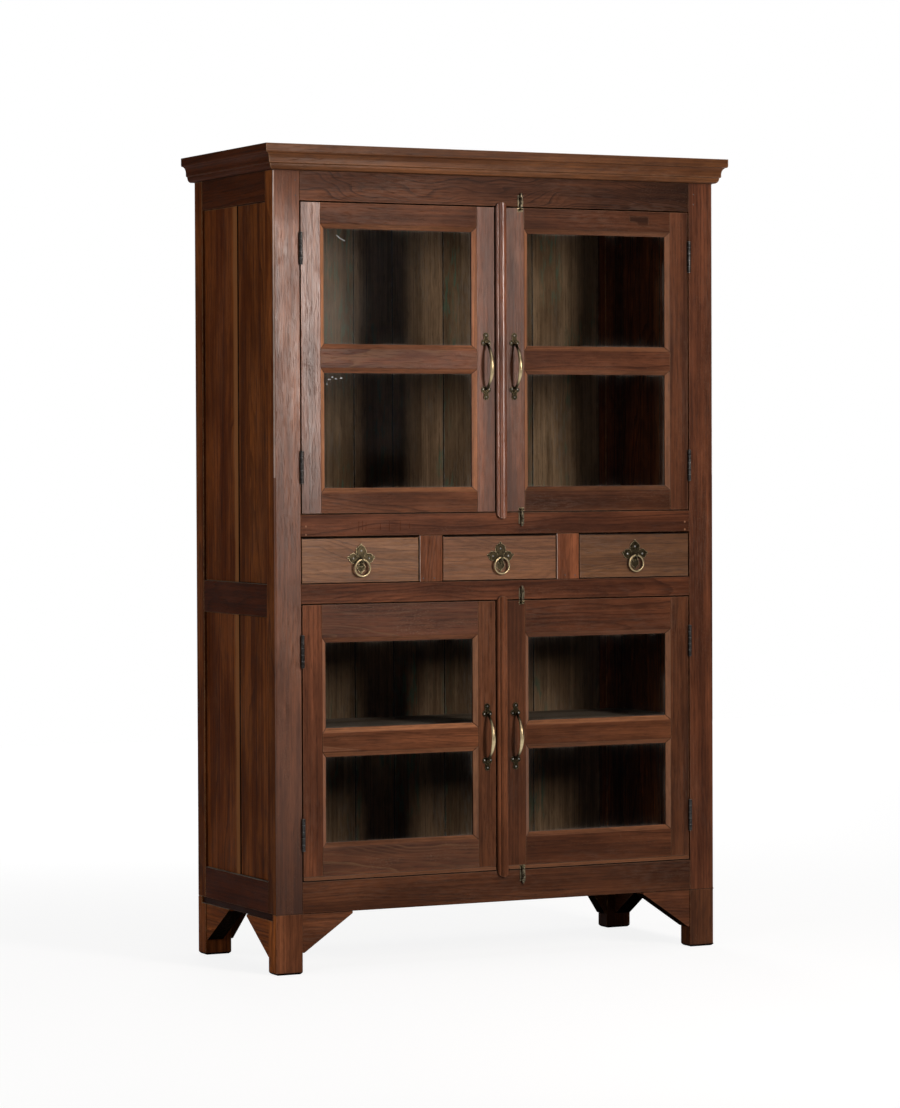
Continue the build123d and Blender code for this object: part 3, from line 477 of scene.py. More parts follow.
# Colour for the post's darker ends: towards the bottom, and painted shade under the cornice at the top.
END_DARK = (0.024, 0.0045, 0.001)
LOW_DARKENING, TOP_SHADE = (-0.30, -0.80), (0.64, 0.80)
QUIRK_BACK, QUIRK_FRONT = -11 * MM, -12 * MM
STRONG = 0.8
GRAIN_STRENGTH, GRAIN_DEPTH = 0.6, 0.0006


def wood(
    name, pale, middle, dark, worn, line=None, ring=0.008, swirl=0.07, figure=0.45, fibre=0.55, change=0.12,
    roughness=0.36, specular=0.45, edge=0.6, dirt=0.75, reach=0.02, rub=0.12, rub_tone=(0.36, 0.24, 0.18),
    dust=0.25, chips=0.35, green=0.0, quirk=False, sapwood=0.0, darkened_ends=0.0,
):
    """A teak finish: figure, then rubs, worn edges, dust, painted shade and grime in the corners, holes and
    chips.
    """
    finish, sheet, shader = new_finish(name)
    figured = sheet.place(
        teak, Pale=pale, Middle=middle, Dark=dark, Line=line or dark, Ring_Width=ring, Swirl=swirl,
        Figure=figure, Fibre=fibre, Board_Change=change,
    )
    handling = sheet.place(scuff, Amount=rub, Dust=dust, Chips=chips)
    shade_and_grime = sheet.place(corner_occlusion, Reach=reach, Amount=dirt)["Mask"]
    gloss = sheet.times_add(figured["Gloss"], 0.5, roughness - 0.25)
    colour = sheet.mix(handling["Rub"], figured["Color"], rub_tone)
    if sapwood:
        across = sheet.times_add(figured["Gloss"], sapwood, sheet.split(sheet.coords("Generated"))["Y"])
        strip = sheet.step(across, 1.7 * sapwood, 1.2 * sapwood, 0.0, STRONG)
        colour = sheet.mix(strip, colour, SAPWOOD)
    if green:
        colour = sheet.mix(sheet.place(paint, Amount=green)["Mask"], colour, GREEN_PAINT)
    colour = sheet.mix(sheet.place(wear, Amount=edge)["Mask"], colour, worn)
    colour = sheet.mix(handling["Dust"], colour, DUST)
    # Painted shade and grime in the corners.
    colour = sheet.mix(shade_and_grime, colour, DIRT_AND_SHADE)
    # A dark line where the slope starts.
    if quirk:
        depth = sheet.split(sheet.coords())["Y"]
        colour = sheet.mix(sheet.step(depth, QUIRK_BACK, QUIRK_FRONT, 0.0, STRONG), colour, DIRT_AND_SHADE)
    # Darker towards the bottom of the post, and painted shade below the cornice at its top.
    if darkened_ends:
        along = sheet.split(sheet.coords())["X"]
        low_end = sheet.step(along, *LOW_DARKENING, 0.0, darkened_ends)
        end_dark = sheet.calc("MAXIMUM", low_end, sheet.step(along, *TOP_SHADE, 0.0, darkened_ends))
        colour = sheet.mix(end_dark, colour, END_DARK)
        gloss = sheet.times_add(end_dark, 0.7, gloss)
    colour = sheet.mix(handling["Hole"], colour, DIRT_AND_SHADE)
    colour = sheet.mix(handling["Chip"], colour, CHIP)
    gloss = sheet.times_add(shade_and_grime, 0.25, gloss)
    sheet.fill(
        shader, Base_Color=colour, Roughness=sheet.times_add(handling["Rub"], 0.15, gloss),
        Specular_IOR_Level=specular, Normal=sheet.emboss(figured["Height"], GRAIN_STRENGTH, GRAIN_DEPTH),
    )
    return finish


print("wood finish maker ready")

# %% [markdown]
# The front is red teak under old varnish. Fibres mirror a lamp at their side and not one at their
# end, so upright members shine under this light and level ones stay dull. The real fibres do this by
# themselves; here it is simplest to give them two finishes. Some rails show chalky rings or a wild
# figure, and the outer corner of each post is rubbed pale, with a painted highlight on it.

# %% Red teak of the front
RED_TEAK = ((0.210, 0.070, 0.030), (0.106, 0.033, 0.0135), (0.028, 0.008, 0.0035), (0.33, 0.16, 0.085))
UPRIGHT = {"specular": 0.55, "roughness": 0.36, "figure": 0.3, "fibre": 0.9, "rub": 0.2, "chips": 0.55}
DULL = {"specular": 0.15, "roughness": 0.44, "figure": 0.3, "fibre": 1.0, "rub": 0.1}
LEVEL = {"specular": 0.13, "roughness": 0.43, "fibre": 0.9}
upright_teak = wood("upright_teak", *RED_TEAK, **UPRIGHT)
post_teak = wood("post_teak", *RED_TEAK, darkened_ends=0.55, **UPRIGHT)
handled_teak = wood("handled_teak", *RED_TEAK, **(UPRIGHT | {"specular": 0.75}))
dull_teak = wood("dull_teak", *RED_TEAK, **DULL)
level_teak = wood("level_teak", *RED_TEAK, figure=0.6, **LEVEL)
chalky_teak = wood(
    "chalky_teak", *RED_TEAK, line=(0.30, 0.15, 0.07), figure=0.6, chips=0.9, swirl=0.12,
    **(LEVEL | {"specular": 0.26}),
)
figured_teak = wood("figured_teak", *RED_TEAK, figure=0.85, swirl=0.24, ring=0.0055, **LEVEL)
# Worn pale wood with a painted highlight on it, for the rounded outer corners.
arris_wear_and_highlight_teak = wood(
    "arris_wear_and_highlight_teak", (0.42, 0.29, 0.24), (0.30, 0.195, 0.15), (0.10, 0.05, 0.03), (0.50, 0.36, 0.29),
    specular=0.9, roughness=0.33, figure=0.3, fibre=1.2, rub=0.3, chips=0.6, edge=0.4, dirt=0.3,
)
astragal_teak = wood("astragal_teak", *RED_TEAK, specular=1.0, roughness=0.30, figure=0.2, fibre=0.7)
print("finishes so far:", len(bpy.data.materials))

# %% [markdown]
# The slopes round the glass were cleaned most, so they are paler, and on the stiles they are painted
# paler still as a painted highlight, with a dark line where the slope starts. The drawer fronts have been
# cleaned as well, the cornice is more yellow, and a pale lipping closes the lower doors. Each is the
# same function with other browns and less wear.

# %% Paler teak
# Paler on the stiles' slopes: cleaning, and a painted highlight.
sticking_teak = wood(
    "sticking_teak", (0.460, 0.200, 0.102), (0.310, 0.125, 0.060), (0.070, 0.023, 0.010),
    (0.60, 0.38, 0.25), figure=0.2, specular=0.4, quirk=True, edge=0.9, fibre=0.8,
)
level_sticking_teak = wood(
    "level_sticking_teak", (0.330, 0.132, 0.062), (0.215, 0.080, 0.036), (0.055, 0.018, 0.008),
    (0.50, 0.29, 0.18), figure=0.3, specular=0.15, roughness=0.43, quirk=True, edge=0.7, fibre=0.9,
)
drawer_teak = wood(
    "drawer_teak", (0.240, 0.104, 0.045), (0.172, 0.068, 0.026), (0.045, 0.014, 0.005), (0.36, 0.20, 0.11),
    figure=0.5, swirl=0.20, ring=0.009, specular=0.4, roughness=0.37, change=0.05, fibre=0.9,
)
cornice_teak = wood(
    "cornice_teak", (0.215, 0.085, 0.030), (0.140, 0.050, 0.015), (0.038, 0.012, 0.004), (0.42, 0.24, 0.13),
    figure=0.3, roughness=0.42, specular=0.2, edge=0.5, fibre=1.0, dirt=1.0, reach=0.008,
)
lipping_teak = wood(
    "lipping_teak", (0.280, 0.108, 0.048), (0.220, 0.078, 0.032), (0.090, 0.029, 0.011), (0.40, 0.22, 0.12),
    figure=0.2, roughness=0.45, specular=0.2,
)
print("finishes so far:", len(bpy.data.materials))

# %% [markdown]
# The sides are darker and warmer, with little varnish left and dust in the grain, and some boards show
# a strip of sapwood. The bare boards inside have gone grey-brown, and those at the back kept runs of an
# old green paint. Faces that look into the gaps between boards are painted nearly black, as painted shade.

# %% Teak of the sides and the inside
SIDE_TEAK = ((0.285, 0.076, 0.018), (0.130, 0.029, 0.0065), (0.030, 0.007, 0.002), (0.55, 0.32, 0.15))
SIDE = {
    "figure": 0.7, "roughness": 0.65, "specular": 0.04, "dust": 0.9, "rub": 0.05, "chips": 0.25,
    "fibre": 1.4, "edge": 1.0, "dirt": 0.4,
}
GREY_TEAK = ((0.300, 0.188, 0.112), (0.170, 0.100, 0.056), (0.030, 0.018, 0.011))
GREY = {"roughness": 0.75, "specular": 0.08, "change": 0.4, "fibre": 0.9, "rub_tone": (0.24, 0.215, 0.19)}
side_board_teak = wood("side_board_teak", *SIDE_TEAK, **SIDE)
sapwood_teak = wood("sapwood_teak", *SIDE_TEAK, sapwood=0.13, **SIDE)
post_side_teak = wood(
    "post_side_teak", (0.195, 0.053, 0.0130), (0.088, 0.020, 0.0046), (0.022, 0.005, 0.0015),
    (0.36, 0.20, 0.10), **SIDE,
)
side_rail_teak = wood(
    "side_rail_teak", (0.105, 0.023, 0.0065), (0.062, 0.0125, 0.0035), (0.018, 0.004, 0.0015),
    (0.24, 0.12, 0.06), figure=0.5, roughness=0.65, specular=0.04, dust=1.0, rub=0.03, chips=0.25,
    fibre=1.0,
)
# Nearly black, for faces in gaps and underneath: painted shade.
painted_shade_teak = wood(
    "painted_shade_teak", (0.020, 0.010, 0.006), (0.012, 0.006, 0.004), (0.006, 0.004, 0.003), (0.02, 0.012, 0.008),
    specular=0.0, roughness=0.8, chips=0.0,
)
inner_teak = wood("inner_teak", *GREY_TEAK, (0.30, 0.20, 0.14), figure=0.2, rub=0.3, **GREY)
back_board_teak = wood(
    "back_board_teak", *GREY_TEAK, (0.42, 0.43, 0.41), figure=0.12, rub=0.35, green=0.6, edge=1.0, **GREY
)
print("wood finishes:", [m.name for m in bpy.data.materials if m.name.endswith("_teak")])

# %% [markdown]
# ## Cutting the solids into boards
#
# One packed solid file can hold several boards. A texture over all of them would run across the
# joints, so each loose board is copied into an object of its own. Its flat faces are joined again,
# its corners are eased with a small bevel, and the object is turned so that its X axis lies along the
# grain, which is the longest way of the board. The board then stands for the packed node and rides
# on the same body.

# %% Finding the boards
MERGE = 2e-6


def loose_solids(node):
    """The separate solids of a packed node: low corner, high corner and faces as corner points."""
    solid = bmesh.new()
    solid.from_mesh(frame["nodes"][node].data)
    bmesh.ops.remove_doubles(solid, verts=solid.verts, dist=MERGE)
    waiting = set(solid.verts)
    cut = []
    while waiting:
        group, reached = set(), {waiting.pop()}
        while reached:
            group |= reached
            reached = {v for near in reached for e in near.link_edges for v in e.verts} - group
        waiting -= group
        faces = [[v.co.copy() for v in f.verts] for f in solid.faces if f.verts[0] in group]
        low = [min(v.co[i] for v in group) for i in range(3)]
        high = [max(v.co[i] for v in group) for i in range(3)]
        cut.append((Vector(low), Vector(high), faces))
    solid.free()
    return sorted(cut, key=lambda item: [round(c, 4) for c in item[0]])


print("side boards found:", len(loose_solids("side_boards")))

# %% Making a board
FRONT_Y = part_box("frieze_rail")[0].y
HALF_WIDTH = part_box("front_right_post")[1].x
FLAT_ANGLE = math.radians(0.5)
SHARP_ANGLE = math.radians(28)
CORNER_NEAR = MERGE * 50
ARRIS_STEPS = 4
GRAIN_TURN = (
    Matrix.Identity(3),
    Matrix.Rotation(math.radians(90), 3, "Z"),
    Matrix.Rotation(math.radians(-90), 3, "Y"),
)
body_of = {node: body for body, nodes in frame["record"]["behaviour"]["bodies"].items() for node in nodes}


def new_piece(name, shape, finish):
    """An object from a finished shape, smooth between its sharp edges."""
    mesh = bpy.data.meshes.new(name)
    shape.to_mesh(mesh)
    shape.free()
    mesh.shade_smooth()
    mesh.set_sharp_from_angle(angle=SHARP_ANGLE)
    mesh.materials.append(finish)
    piece = bpy.data.objects.new(name, mesh)
    scene.collection.objects.link(piece)
    return piece


def board(name, node, faces, low, high, finish, ease, ease_steps, arris):
    """One board: clean faces, eased corners, X along the grain, and a rounder outer front corner."""
    size = high - low
    centre = (low + high) / 2
    turn = GRAIN_TURN[max(range(3), key=lambda i: size[i])]
    shape = bmesh.new()
    for face in faces:
        shape.faces.new([shape.verts.new(turn.transposed() @ (point - centre)) for point in face])
    bmesh.ops.remove_doubles(shape, verts=shape.verts, dist=MERGE)
    bmesh.ops.dissolve_limit(shape, angle_limit=FLAT_ANGLE, verts=shape.verts, edges=shape.edges)

    def at_corner(vert):
        place = turn @ vert.co + centre
        return abs(place.x) > HALF_WIDTH - CORNER_NEAR and place.y < FRONT_Y + CORNER_NEAR

    def round_off(edges, width, steps):
        bmesh.ops.bevel(
            shape, geom=edges, offset=width, offset_type="OFFSET", segments=steps, profile=0.5,
            affect="EDGES", clamp_overlap=True,
        )

    sharp = [e for e in shape.edges if len(e.link_faces) == 2 and e.calc_face_angle_signed(0) > SHARP_ANGLE]
    outer = [e for e in sharp if arris and all(at_corner(v) for v in e.verts)]
    round_off([e for e in sharp if e not in outer], ease, ease_steps)
    if outer:
        outer = [e for e in shape.edges if all(at_corner(v) for v in e.verts)]
        round_off(outer, arris, ARRIS_STEPS)
    piece = new_piece(name, shape, finish)
    flat = piece.modifiers.new("flat_faces", "WEIGHTED_NORMAL")
    flat.keep_sharp = True
    flat.weight = 100
    piece.matrix_world = Matrix.Translation(centre) @ turn.to_4x4()
    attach(piece, body_of[node])
    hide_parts(node)
    return piece


print("board maker ready, front at", round(FRONT_Y, 4))

# %% Cutting and refinishing
boards = {}


def cut_boards(node, finish, ease, ease_steps=2, arris=0.0):
    """Turn every solid of a node into a board; gives (board, low corner, high corner) in order."""
    cut = []
    for number, (low, high, faces) in enumerate(loose_solids(node)):
        piece = board(f"{node}.{number}", node, faces, low, high, finish, ease, ease_steps, arris)
        boards[piece.name] = piece
        cut.append((piece, low, high))
    return cut


def rename(piece, name):
    """Give a board a plainer name."""
    del boards[piece.name]
    piece.name = name
    boards[name] = piece


def refinish(piece, finish, wanted, above=-1.0):
    """Give another finish to the faces of a board whose direction is wanted, above a height."""
    piece.data.materials.append(finish)
    turn = piece.matrix_world.to_3x3()
    for face in piece.data.polygons:
        if wanted(turn @ face.normal) and (piece.matrix_world @ face.center).z > above:
            face.material_index = len(piece.data.materials) - 1


def score(piece, height):
    """Cut the skin of a board at a height, so that a finish can end there."""
    shape = bmesh.new()
    shape.from_mesh(piece.data)
    shape.transform(piece.matrix_world)
    skin = [*shape.verts, *shape.edges, *shape.faces]
    bmesh.ops.bisect_plane(shape, geom=skin, plane_co=(0, 0, height), plane_no=(0, 0, 1))
    shape.transform(piece.matrix_world.inverted())
    shape.to_mesh(piece.data)
    shape.free()


print("board cutter ready for", len(frame["nodes"]), "nodes")

# %% [markdown]
# ## Carcass boards
#
# Hands and cloths wore the front corners round, the outer corner of each post most of all: on its
# upper part the varnish is gone, and that strip is painted pale with a painted highlight along it; the
# skin is scored where the strip ends. Faces that look to the side take the warmer side finishes, and
# undersides are painted dark as painted shade. Choosing faces by direction needs no picture wrapped
# round the board, so it holds when a size of the part changes.

# %% Front boards
FRONT_NODES = {
    "front_left_post": post_teak, "front_right_post": dull_teak, "foot_blocks": dull_teak,
    "drawer_dividers": level_teak, "foot_brackets": level_teak, "front_bottom_rail": level_teak,
    "lower_mid_rail": level_teak, "upper_mid_rail": level_teak, "frieze_rail": figured_teak,
}
POSTS = ("front_left_post", "front_right_post")
ARRIS, ARRIS_HIGHLIGHT_END = 5 * MM, 1.05
SQUARE_ON, SLANTED, UNDERSIDE = 0.9, 0.2, -0.3


def on_arris(side):
    """Wanted: faces of the rounded corner between the front and a side (-1 left, 1 right)."""
    return lambda normal: SLANTED < side * normal.x < SQUARE_ON and normal.y < 0


for node, finish in FRONT_NODES.items():
    for piece, low, high in cut_boards(node, finish, ease=1.5 * MM, ease_steps=3, arris=ARRIS):
        if low.y > 0:
            piece.data.materials[0] = side_board_teak
        else:
            side = post_side_teak if node in POSTS else side_board_teak
            refinish(piece, side, lambda normal: abs(normal.x) > SQUARE_ON)
            if node in POSTS:
                # The painted highlight on the outer corner ends at this height.
                score(piece, ARRIS_HIGHLIGHT_END)
                refinish(piece, arris_wear_and_highlight_teak, on_arris(math.copysign(1, low.x)), ARRIS_HIGHLIGHT_END)
            elif node == "drawer_dividers":
                refinish(piece, arris_wear_and_highlight_teak, on_arris(-1))
        # Undersides get painted shade.
        refinish(piece, painted_shade_teak, lambda normal: normal.z < UNDERSIDE)
print("front boards:", len(boards))

# %% [markdown]
# The cornice is varnished in front, dark along the sides and bare grey on top. The rear boards of the
# left side have the sapwood. Side and back boards are painted black where they face their neighbours,
# as painted shade, and the back is paler at its right end.

# %% Cornice, sides, back and inside
SEAM = 0.6
PALE_BOARD_X, PALE_BOARD = 0.25, 1.35
INNER_NODES = ("top_board", "back_rails", "floors", "shelves", "shelf_cleats", "drawer_guides")
for piece, low, high in cut_boards("cornice", cornice_teak, ease=0.9 * MM):
    if high.x - low.x < high.y - low.y:
        piece.data.materials[0] = side_rail_teak
    refinish(piece, inner_teak, lambda normal: normal.z > SQUARE_ON)
side_low, side_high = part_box("side_boards")
for piece, low, high in cut_boards("side_boards", side_board_teak, ease=3.0 * MM, ease_steps=3):
    if low.x < 0 and low.y + high.y > side_low.y + side_high.y:
        piece.data.materials[0] = sapwood_teak
    refinish(piece, painted_shade_teak, lambda normal: abs(normal.y) > SEAM)
for node in ("side_rails", "base_battens"):
    cut_boards(node, side_rail_teak, ease=1.5 * MM)
cut_boards("back_posts", side_board_teak, ease=1.5 * MM)
for node in INNER_NODES:
    cut_boards(node, inner_teak, ease=0.8 * MM)
for piece, low, high in cut_boards("back_boards", back_board_teak, ease=2.0 * MM):
    refinish(piece, painted_shade_teak, lambda normal: abs(normal.x) > SEAM)
    if low.x > PALE_BOARD_X:
        piece.color = (PALE_BOARD, PALE_BOARD, PALE_BOARD, 1)
print("carcass boards:", len(boards))

# %% [markdown]
# ## Doors and drawers
#
# Each door frame comes as two stiles and three rails, with a pale lipping under the lower doors. The
# sloping edges round the glass are found by their direction, which no other face has. Drawer fronts
# get painted shade along the upper and the right edge, where the gap to the rail shows.

# %% Door and drawer boards
LIPPING_LIMIT = 10 * MM
FRONT_LIMIT = 10 * MM
SLOPE = (0.78, 0.90)
SHADE_EDGE = 0.35
DOORS = ("upper_left_door", "upper_right_door", "lower_left_door", "lower_right_door")
DRAWERS = ("left_drawer", "middle_drawer", "right_drawer")
MEMBERS = ("left_stile", "right_stile", "bottom_rail", "mid_rail", "top_rail", "lipping")
MEMBER_FINISHES = {
    "upper_left_door_left_stile": handled_teak, "upper_left_door_right_stile": upright_teak,
    "upper_right_door_left_stile": upright_teak, "upper_left_door_mid_rail": chalky_teak,
    "lower_left_door_top_rail": chalky_teak, "lower_left_door_bottom_rail": chalky_teak,
}


def member_names(cut):
    """Name the members of a door frame: stiles from the left, rails from the bottom."""
    stiles = sorted((c for c in cut if c[2].z - c[1].z > c[2].x - c[1].x), key=lambda c: c[1].x)
    rails = sorted((c for c in cut if c not in stiles), key=lambda c: c[1].z)
    lipping = [c for c in rails if c[2].z - c[1].z < LIPPING_LIMIT]
    rails = [c for c in rails if c not in lipping]
    return [(name, c[0]) for name, c in zip(MEMBERS, stiles + rails + lipping)]


for door in DOORS:
    for member, piece in member_names(cut_boards(f"{door}_frame", dull_teak, ease=0.8 * MM)):
        rename(piece, f"{door}_{member}")
        usual, sloping = dull_teak, sticking_teak
        if member == "lipping":
            usual = lipping_teak
        elif member.endswith("rail"):
            usual, sloping = level_teak, level_sticking_teak
        piece.data.materials[0] = MEMBER_FINISHES.get(piece.name, usual)
        refinish(piece, sloping, lambda normal: SLOPE[0] < -normal.y < SLOPE[1])
    cut_boards(f"{door}_glazing_beads", inner_teak, ease=0.4 * MM)
cut_boards("upper_right_door_astragal", astragal_teak, ease=0.6 * MM)
cut_boards("lower_right_door_astragal", dull_teak, ease=0.6 * MM)
for drawer in DRAWERS:
    for piece, low, high in cut_boards(f"{drawer}_box", drawer_teak, ease=2.0 * MM):
        if low.y > FRONT_Y + FRONT_LIMIT:
            piece.data.materials[0] = inner_teak
        else:
            rename(piece, f"{drawer}_front")
            # Painted shade along the upper and right edges, where the gap shows.
            refinish(piece, painted_shade_teak, lambda normal: max(normal.x, normal.z) > SHADE_EDGE)
print("doors:", len(DOORS), "drawers:", len(DRAWERS), "boards:", len(boards))

# %% [markdown]
# ## Tones
#
# Boards from one tree still differ, and here the tones also carry painted light. Each board that stands
# out in the picture gets its own tone, as a factor on its wood colour: boards at the left are lighter
# and those at the right darker, as painted light, and the feet and brackets at the back right, the side
# battens and the shelves are darkened as painted shade. Some are paler at one end, as painted light that
# fades along the board, so they get a second number for the change along the board. A finish for each
# board would say the same at greater length.

# %% Tones of single boards
# Tones of single boards, partly their own and partly painted light; the low ones at the back right, the
# battens and the shelves are painted shade.
TONES = {
    "foot_blocks.0": 1.7, "foot_blocks.1": 1.2, "foot_blocks.2": 0.78, "foot_blocks.3": 0.2,
    "foot_brackets.0": 1.2, "foot_brackets.1": 1.2, "foot_brackets.2": 1.28, "foot_brackets.3": 0.3,
    "foot_brackets.5": 0.2, "foot_brackets.7": 0.2, "base_battens.0": 0.3, "base_battens.1": 0.3,
    "drawer_dividers.0": 2.0, "drawer_dividers.1": 1.8, "cornice.1": 0.95, "shelves.0": 0.6,
    "shelves.1": 0.6, "left_drawer_front": 1.45, "middle_drawer_front": 1.3, "right_drawer_front": 0.9,
    "upper_right_door_astragal.0": 1.6, "lower_right_door_astragal.0": 1.45,
}
# Door members: lighter on the left doors and darker on the right, partly as painted light.
DOOR_TONES_AND_PAINTED_LIGHT = {
    "upper_left_door": (1.45, 1.25, 1.15, 1.08, 1.0),
    "upper_right_door": (1.1, 0.72, 0.54, 0.8, 0.56),
    "lower_left_door": (1.35, 1.0, 0.85, 1.5, 0.78),
    "lower_right_door": (0.9, 0.77, 0.95, 1.1, 0.9),
}
# Painted light that fades along a board: a tone, and how much it changes from one end to the other.
PAINTED_LIGHT_FADES = {
    "frieze_rail.0": (0.63, 0.65), "upper_mid_rail.0": (1.08, 0.28), "lower_mid_rail.0": (1.07, 0.12),
    "front_bottom_rail.0": (0.83, 0.16), "front_left_post.0": (1.57, -0.18),
}
for door, tones in DOOR_TONES_AND_PAINTED_LIGHT.items():
    TONES.update((f"{door}_{member}", tone) for member, tone in zip(MEMBERS, tones))
for name, tone in TONES.items():
    boards[name].color = (tone, tone, tone, 1)
for name, (tone, fade) in PAINTED_LIGHT_FADES.items():
    boards[name].color = (tone, tone, tone, 1 - fade)
print("toned boards:", len(TONES) + len(PAINTED_LIGHT_FADES))

# %% [markdown]
# ## Brass and iron
#
# The brass is bright only where hands touch it: the outer curve of each bow and ring. Close to the
# wood, and in every corner, it has gone nearly black. The hinges are blackened iron with bare edges.
# One function makes all the metals; how far a point stands out from the front says how much it is
# touched, which needs no painting. The solids are kept as they are, with their facets welded.

# %% Metal finishes
TARNISH = (0.010, 0.008, 0.006)
CAST_STRENGTH, CAST_DEPTH = 0.25, 0.0004


def metal(name, bright, dull, dark, roughness, touch=None, dirt=0.9, rim=0.5, rim_width=0.0008):
    """An aged metal: dark in the corners, dull on the flats, bright on edges and where it is touched."""
    finish, sheet, shader = new_finish(name)
    place = sheet.coords()
    blotch = sheet.noise(place, 170.0, detail=4.0, roughness=0.6)[0]
    edges = sheet.place(wear, Radius=rim_width, Amount=rim, Size=260.0)["Mask"]
    corners = sheet.place(corner_occlusion, Reach=0.009, Amount=dirt)["Mask"]
    colour = sheet.mix(sheet.step(blotch, 0.40, 0.68), dull, dark)
    if touch:
        reach = sheet.step(sheet.split(place)["Y"], FRONT_Y - touch[0], FRONT_Y - touch[1])
        worn = sheet.times(reach, sheet.times_add(blotch, 0.7, 0.45), clamp=True)
        colour = sheet.mix(worn, colour, bright)
    colour = sheet.mix(edges, colour, bright)
    colour = sheet.mix(corners, colour, TARNISH)
    gloss = sheet.times_add(blotch, 0.25, roughness - 0.12)
    sheet.fill(
        shader, Base_Color=colour, Metallic=1.0, Roughness=sheet.times_add(corners, 0.3, gloss),
        Normal=sheet.emboss(blotch, CAST_STRENGTH, CAST_DEPTH),
    )
    return finish


OLD_BRASS = ((0.72, 0.57, 0.33), (0.050, 0.040, 0.021), (0.018, 0.015, 0.009))
bow_brass = metal("bow_brass", *OLD_BRASS, 0.34, touch=(0.016, 0.031))
ring_brass = metal("ring_brass", *OLD_BRASS, 0.32, touch=(0.005, 0.012))
plate_brass = metal(
    "plate_brass", (0.86, 0.71, 0.42), (0.085, 0.068, 0.038), (0.020, 0.017, 0.011), 0.36, rim=1.0,
    rim_width=0.0016,
)
bolt_brass = metal("bolt_brass", (0.62, 0.54, 0.38), (0.24, 0.20, 0.13), (0.07, 0.058, 0.04), 0.36)
iron = metal(
    "blackened_iron", (0.50, 0.49, 0.48), (0.080, 0.077, 0.074), (0.022, 0.021, 0.020), 0.38, rim=0.9
)
nail_steel = metal(
    "nail_steel", (0.66, 0.65, 0.62), (0.42, 0.41, 0.39), (0.16, 0.15, 0.14), 0.32, dirt=0.3
)
metals = (bow_brass, ring_brass, plate_brass, bolt_brass, iron, nail_steel)
print("metal finishes:", [finish.name for finish in metals])

# %% Metal parts
BOLT_NODES = ("upper_top_bolt", "upper_bottom_bolt", "lower_top_bolt", "lower_bottom_bolt", "bolt_guides")


def dress(node, finish):
    """Give a packed node a finish, with its facets welded."""
    part = frame["nodes"][node]
    part.data.materials.clear()
    part.data.materials.append(finish)
    part.modifiers.new("weld", "WELD").merge_threshold = MERGE


for door in DOORS:
    dress(f"{door}_pull", bow_brass)
    dress(f"{door}_hinge_leaves", iron)
for door in ("upper_right_door", "lower_right_door"):
    dress(f"{door}_keepers", plate_brass)
for drawer in DRAWERS:
    dress(f"{drawer}_pull_plate", plate_brass)
    dress(f"{drawer}_ring", ring_brass)
for node in BOLT_NODES:
    dress(node, bolt_brass)
dress("post_hinge_leaves", iron)
print("metal parts dressed:", sum("weld" in part.modifiers for part in frame["nodes"].values()))

# %% [markdown]
# ## Glass
#
# The panes are old sheet glass: clear, a little grey, and light has to pass through them to reach the
# shelves. Rendered glass would hold that light back, so shadow and scattered rays see it as clear.
# Dust clings along the edges of the panes, and over the corner of the top left pane lies a thin veil of
# dust that also stands for a painted reflection of the softbox. Both are a matt coat on the face that
# looks out, in patches made of noise.

# %% Glass
HAZE_STRENGTH, VEIL_AND_REFLECTION_STRENGTH = 0.25, 0.25
VEIL_AND_REFLECTION_CORNER = (-0.42, FRONT_Y, 1.40)
VEIL_AND_REFLECTION_REACH = (7.5, 0.0, 4.2)
PANE_DUST = (0.48, 0.43, 0.37)
PANE_TINT, SHADOW_TINT = (0.93, 0.95, 0.94), (0.86, 0.88, 0.87)
SMEAR = (14.0, 14.0, 9.0)
old_glass, pane, pane_shader = new_finish("old_glass")
pane.fill(pane_shader, Base_Color=PANE_TINT, Roughness=0.015, IOR=1.3, Transmission_Weight=1.0)
pane_edge = pane.fill(pane.add("ShaderNodeAmbientOcclusion", samples=8), Distance=0.03).outputs["AO"]
pane_place = pane.coords()
pane_smear = pane.noise(pane.vector("MULTIPLY", pane_place, SMEAR), detail=5.0, roughness=0.62)[0]
pane_back = pane.add("ShaderNodeNewGeometry").outputs["Backfacing"]
pane_rim = pane.minus(pane.step(pane_edge, 0.98, 0.55), pane_back, clamp=True)
pane_haze = pane.times(pane_rim, pane.step(pane_smear, 0.36, 0.66))
# The veil: dust and a painted reflection of the softbox on the top left pane.
pane_corner = pane.vector("SUBTRACT", pane_place, VEIL_AND_REFLECTION_CORNER)
pane_reach = pane.vector("LENGTH", pane.vector("MULTIPLY", pane_corner, VEIL_AND_REFLECTION_REACH))
pane_veil_and_reflection = pane.times(pane.step(pane_reach, 1.0, 0.1), pane.step(pane_smear, 0.1, 0.7))
pane_veil_and_reflection = pane.minus(pane_veil_and_reflection, pane_back, clamp=True)
pane_coat = pane.times_add(pane_veil_and_reflection, VEIL_AND_REFLECTION_STRENGTH, pane.times(pane_haze, HAZE_STRENGTH))
pane_dust = pane.add("ShaderNodeBsdfDiffuse", PANE_DUST)
pane_dusty = pane.add("ShaderNodeMixShader", pane_coat, pane_shader.outputs[0], pane_dust.outputs[0])
pane_clear = pane.add("ShaderNodeBsdfTransparent", SHADOW_TINT)
pane_rays = pane.add("ShaderNodeLightPath").outputs
pane_pass = pane.calc("MAXIMUM", pane_rays["Is Shadow Ray"], pane_rays["Is Diffuse Ray"])
pane_mix = pane.add("ShaderNodeMixShader", pane_pass, pane_dusty.outputs[0], pane_clear.outputs[0])
pane.feed(old_glass.node_tree.nodes["Material Output"].inputs["Surface"], pane_mix.outputs[0])
for door in DOORS:
    dress(f"{door}_panes", old_glass)
print("panes dressed:", len(DOORS) * 2)

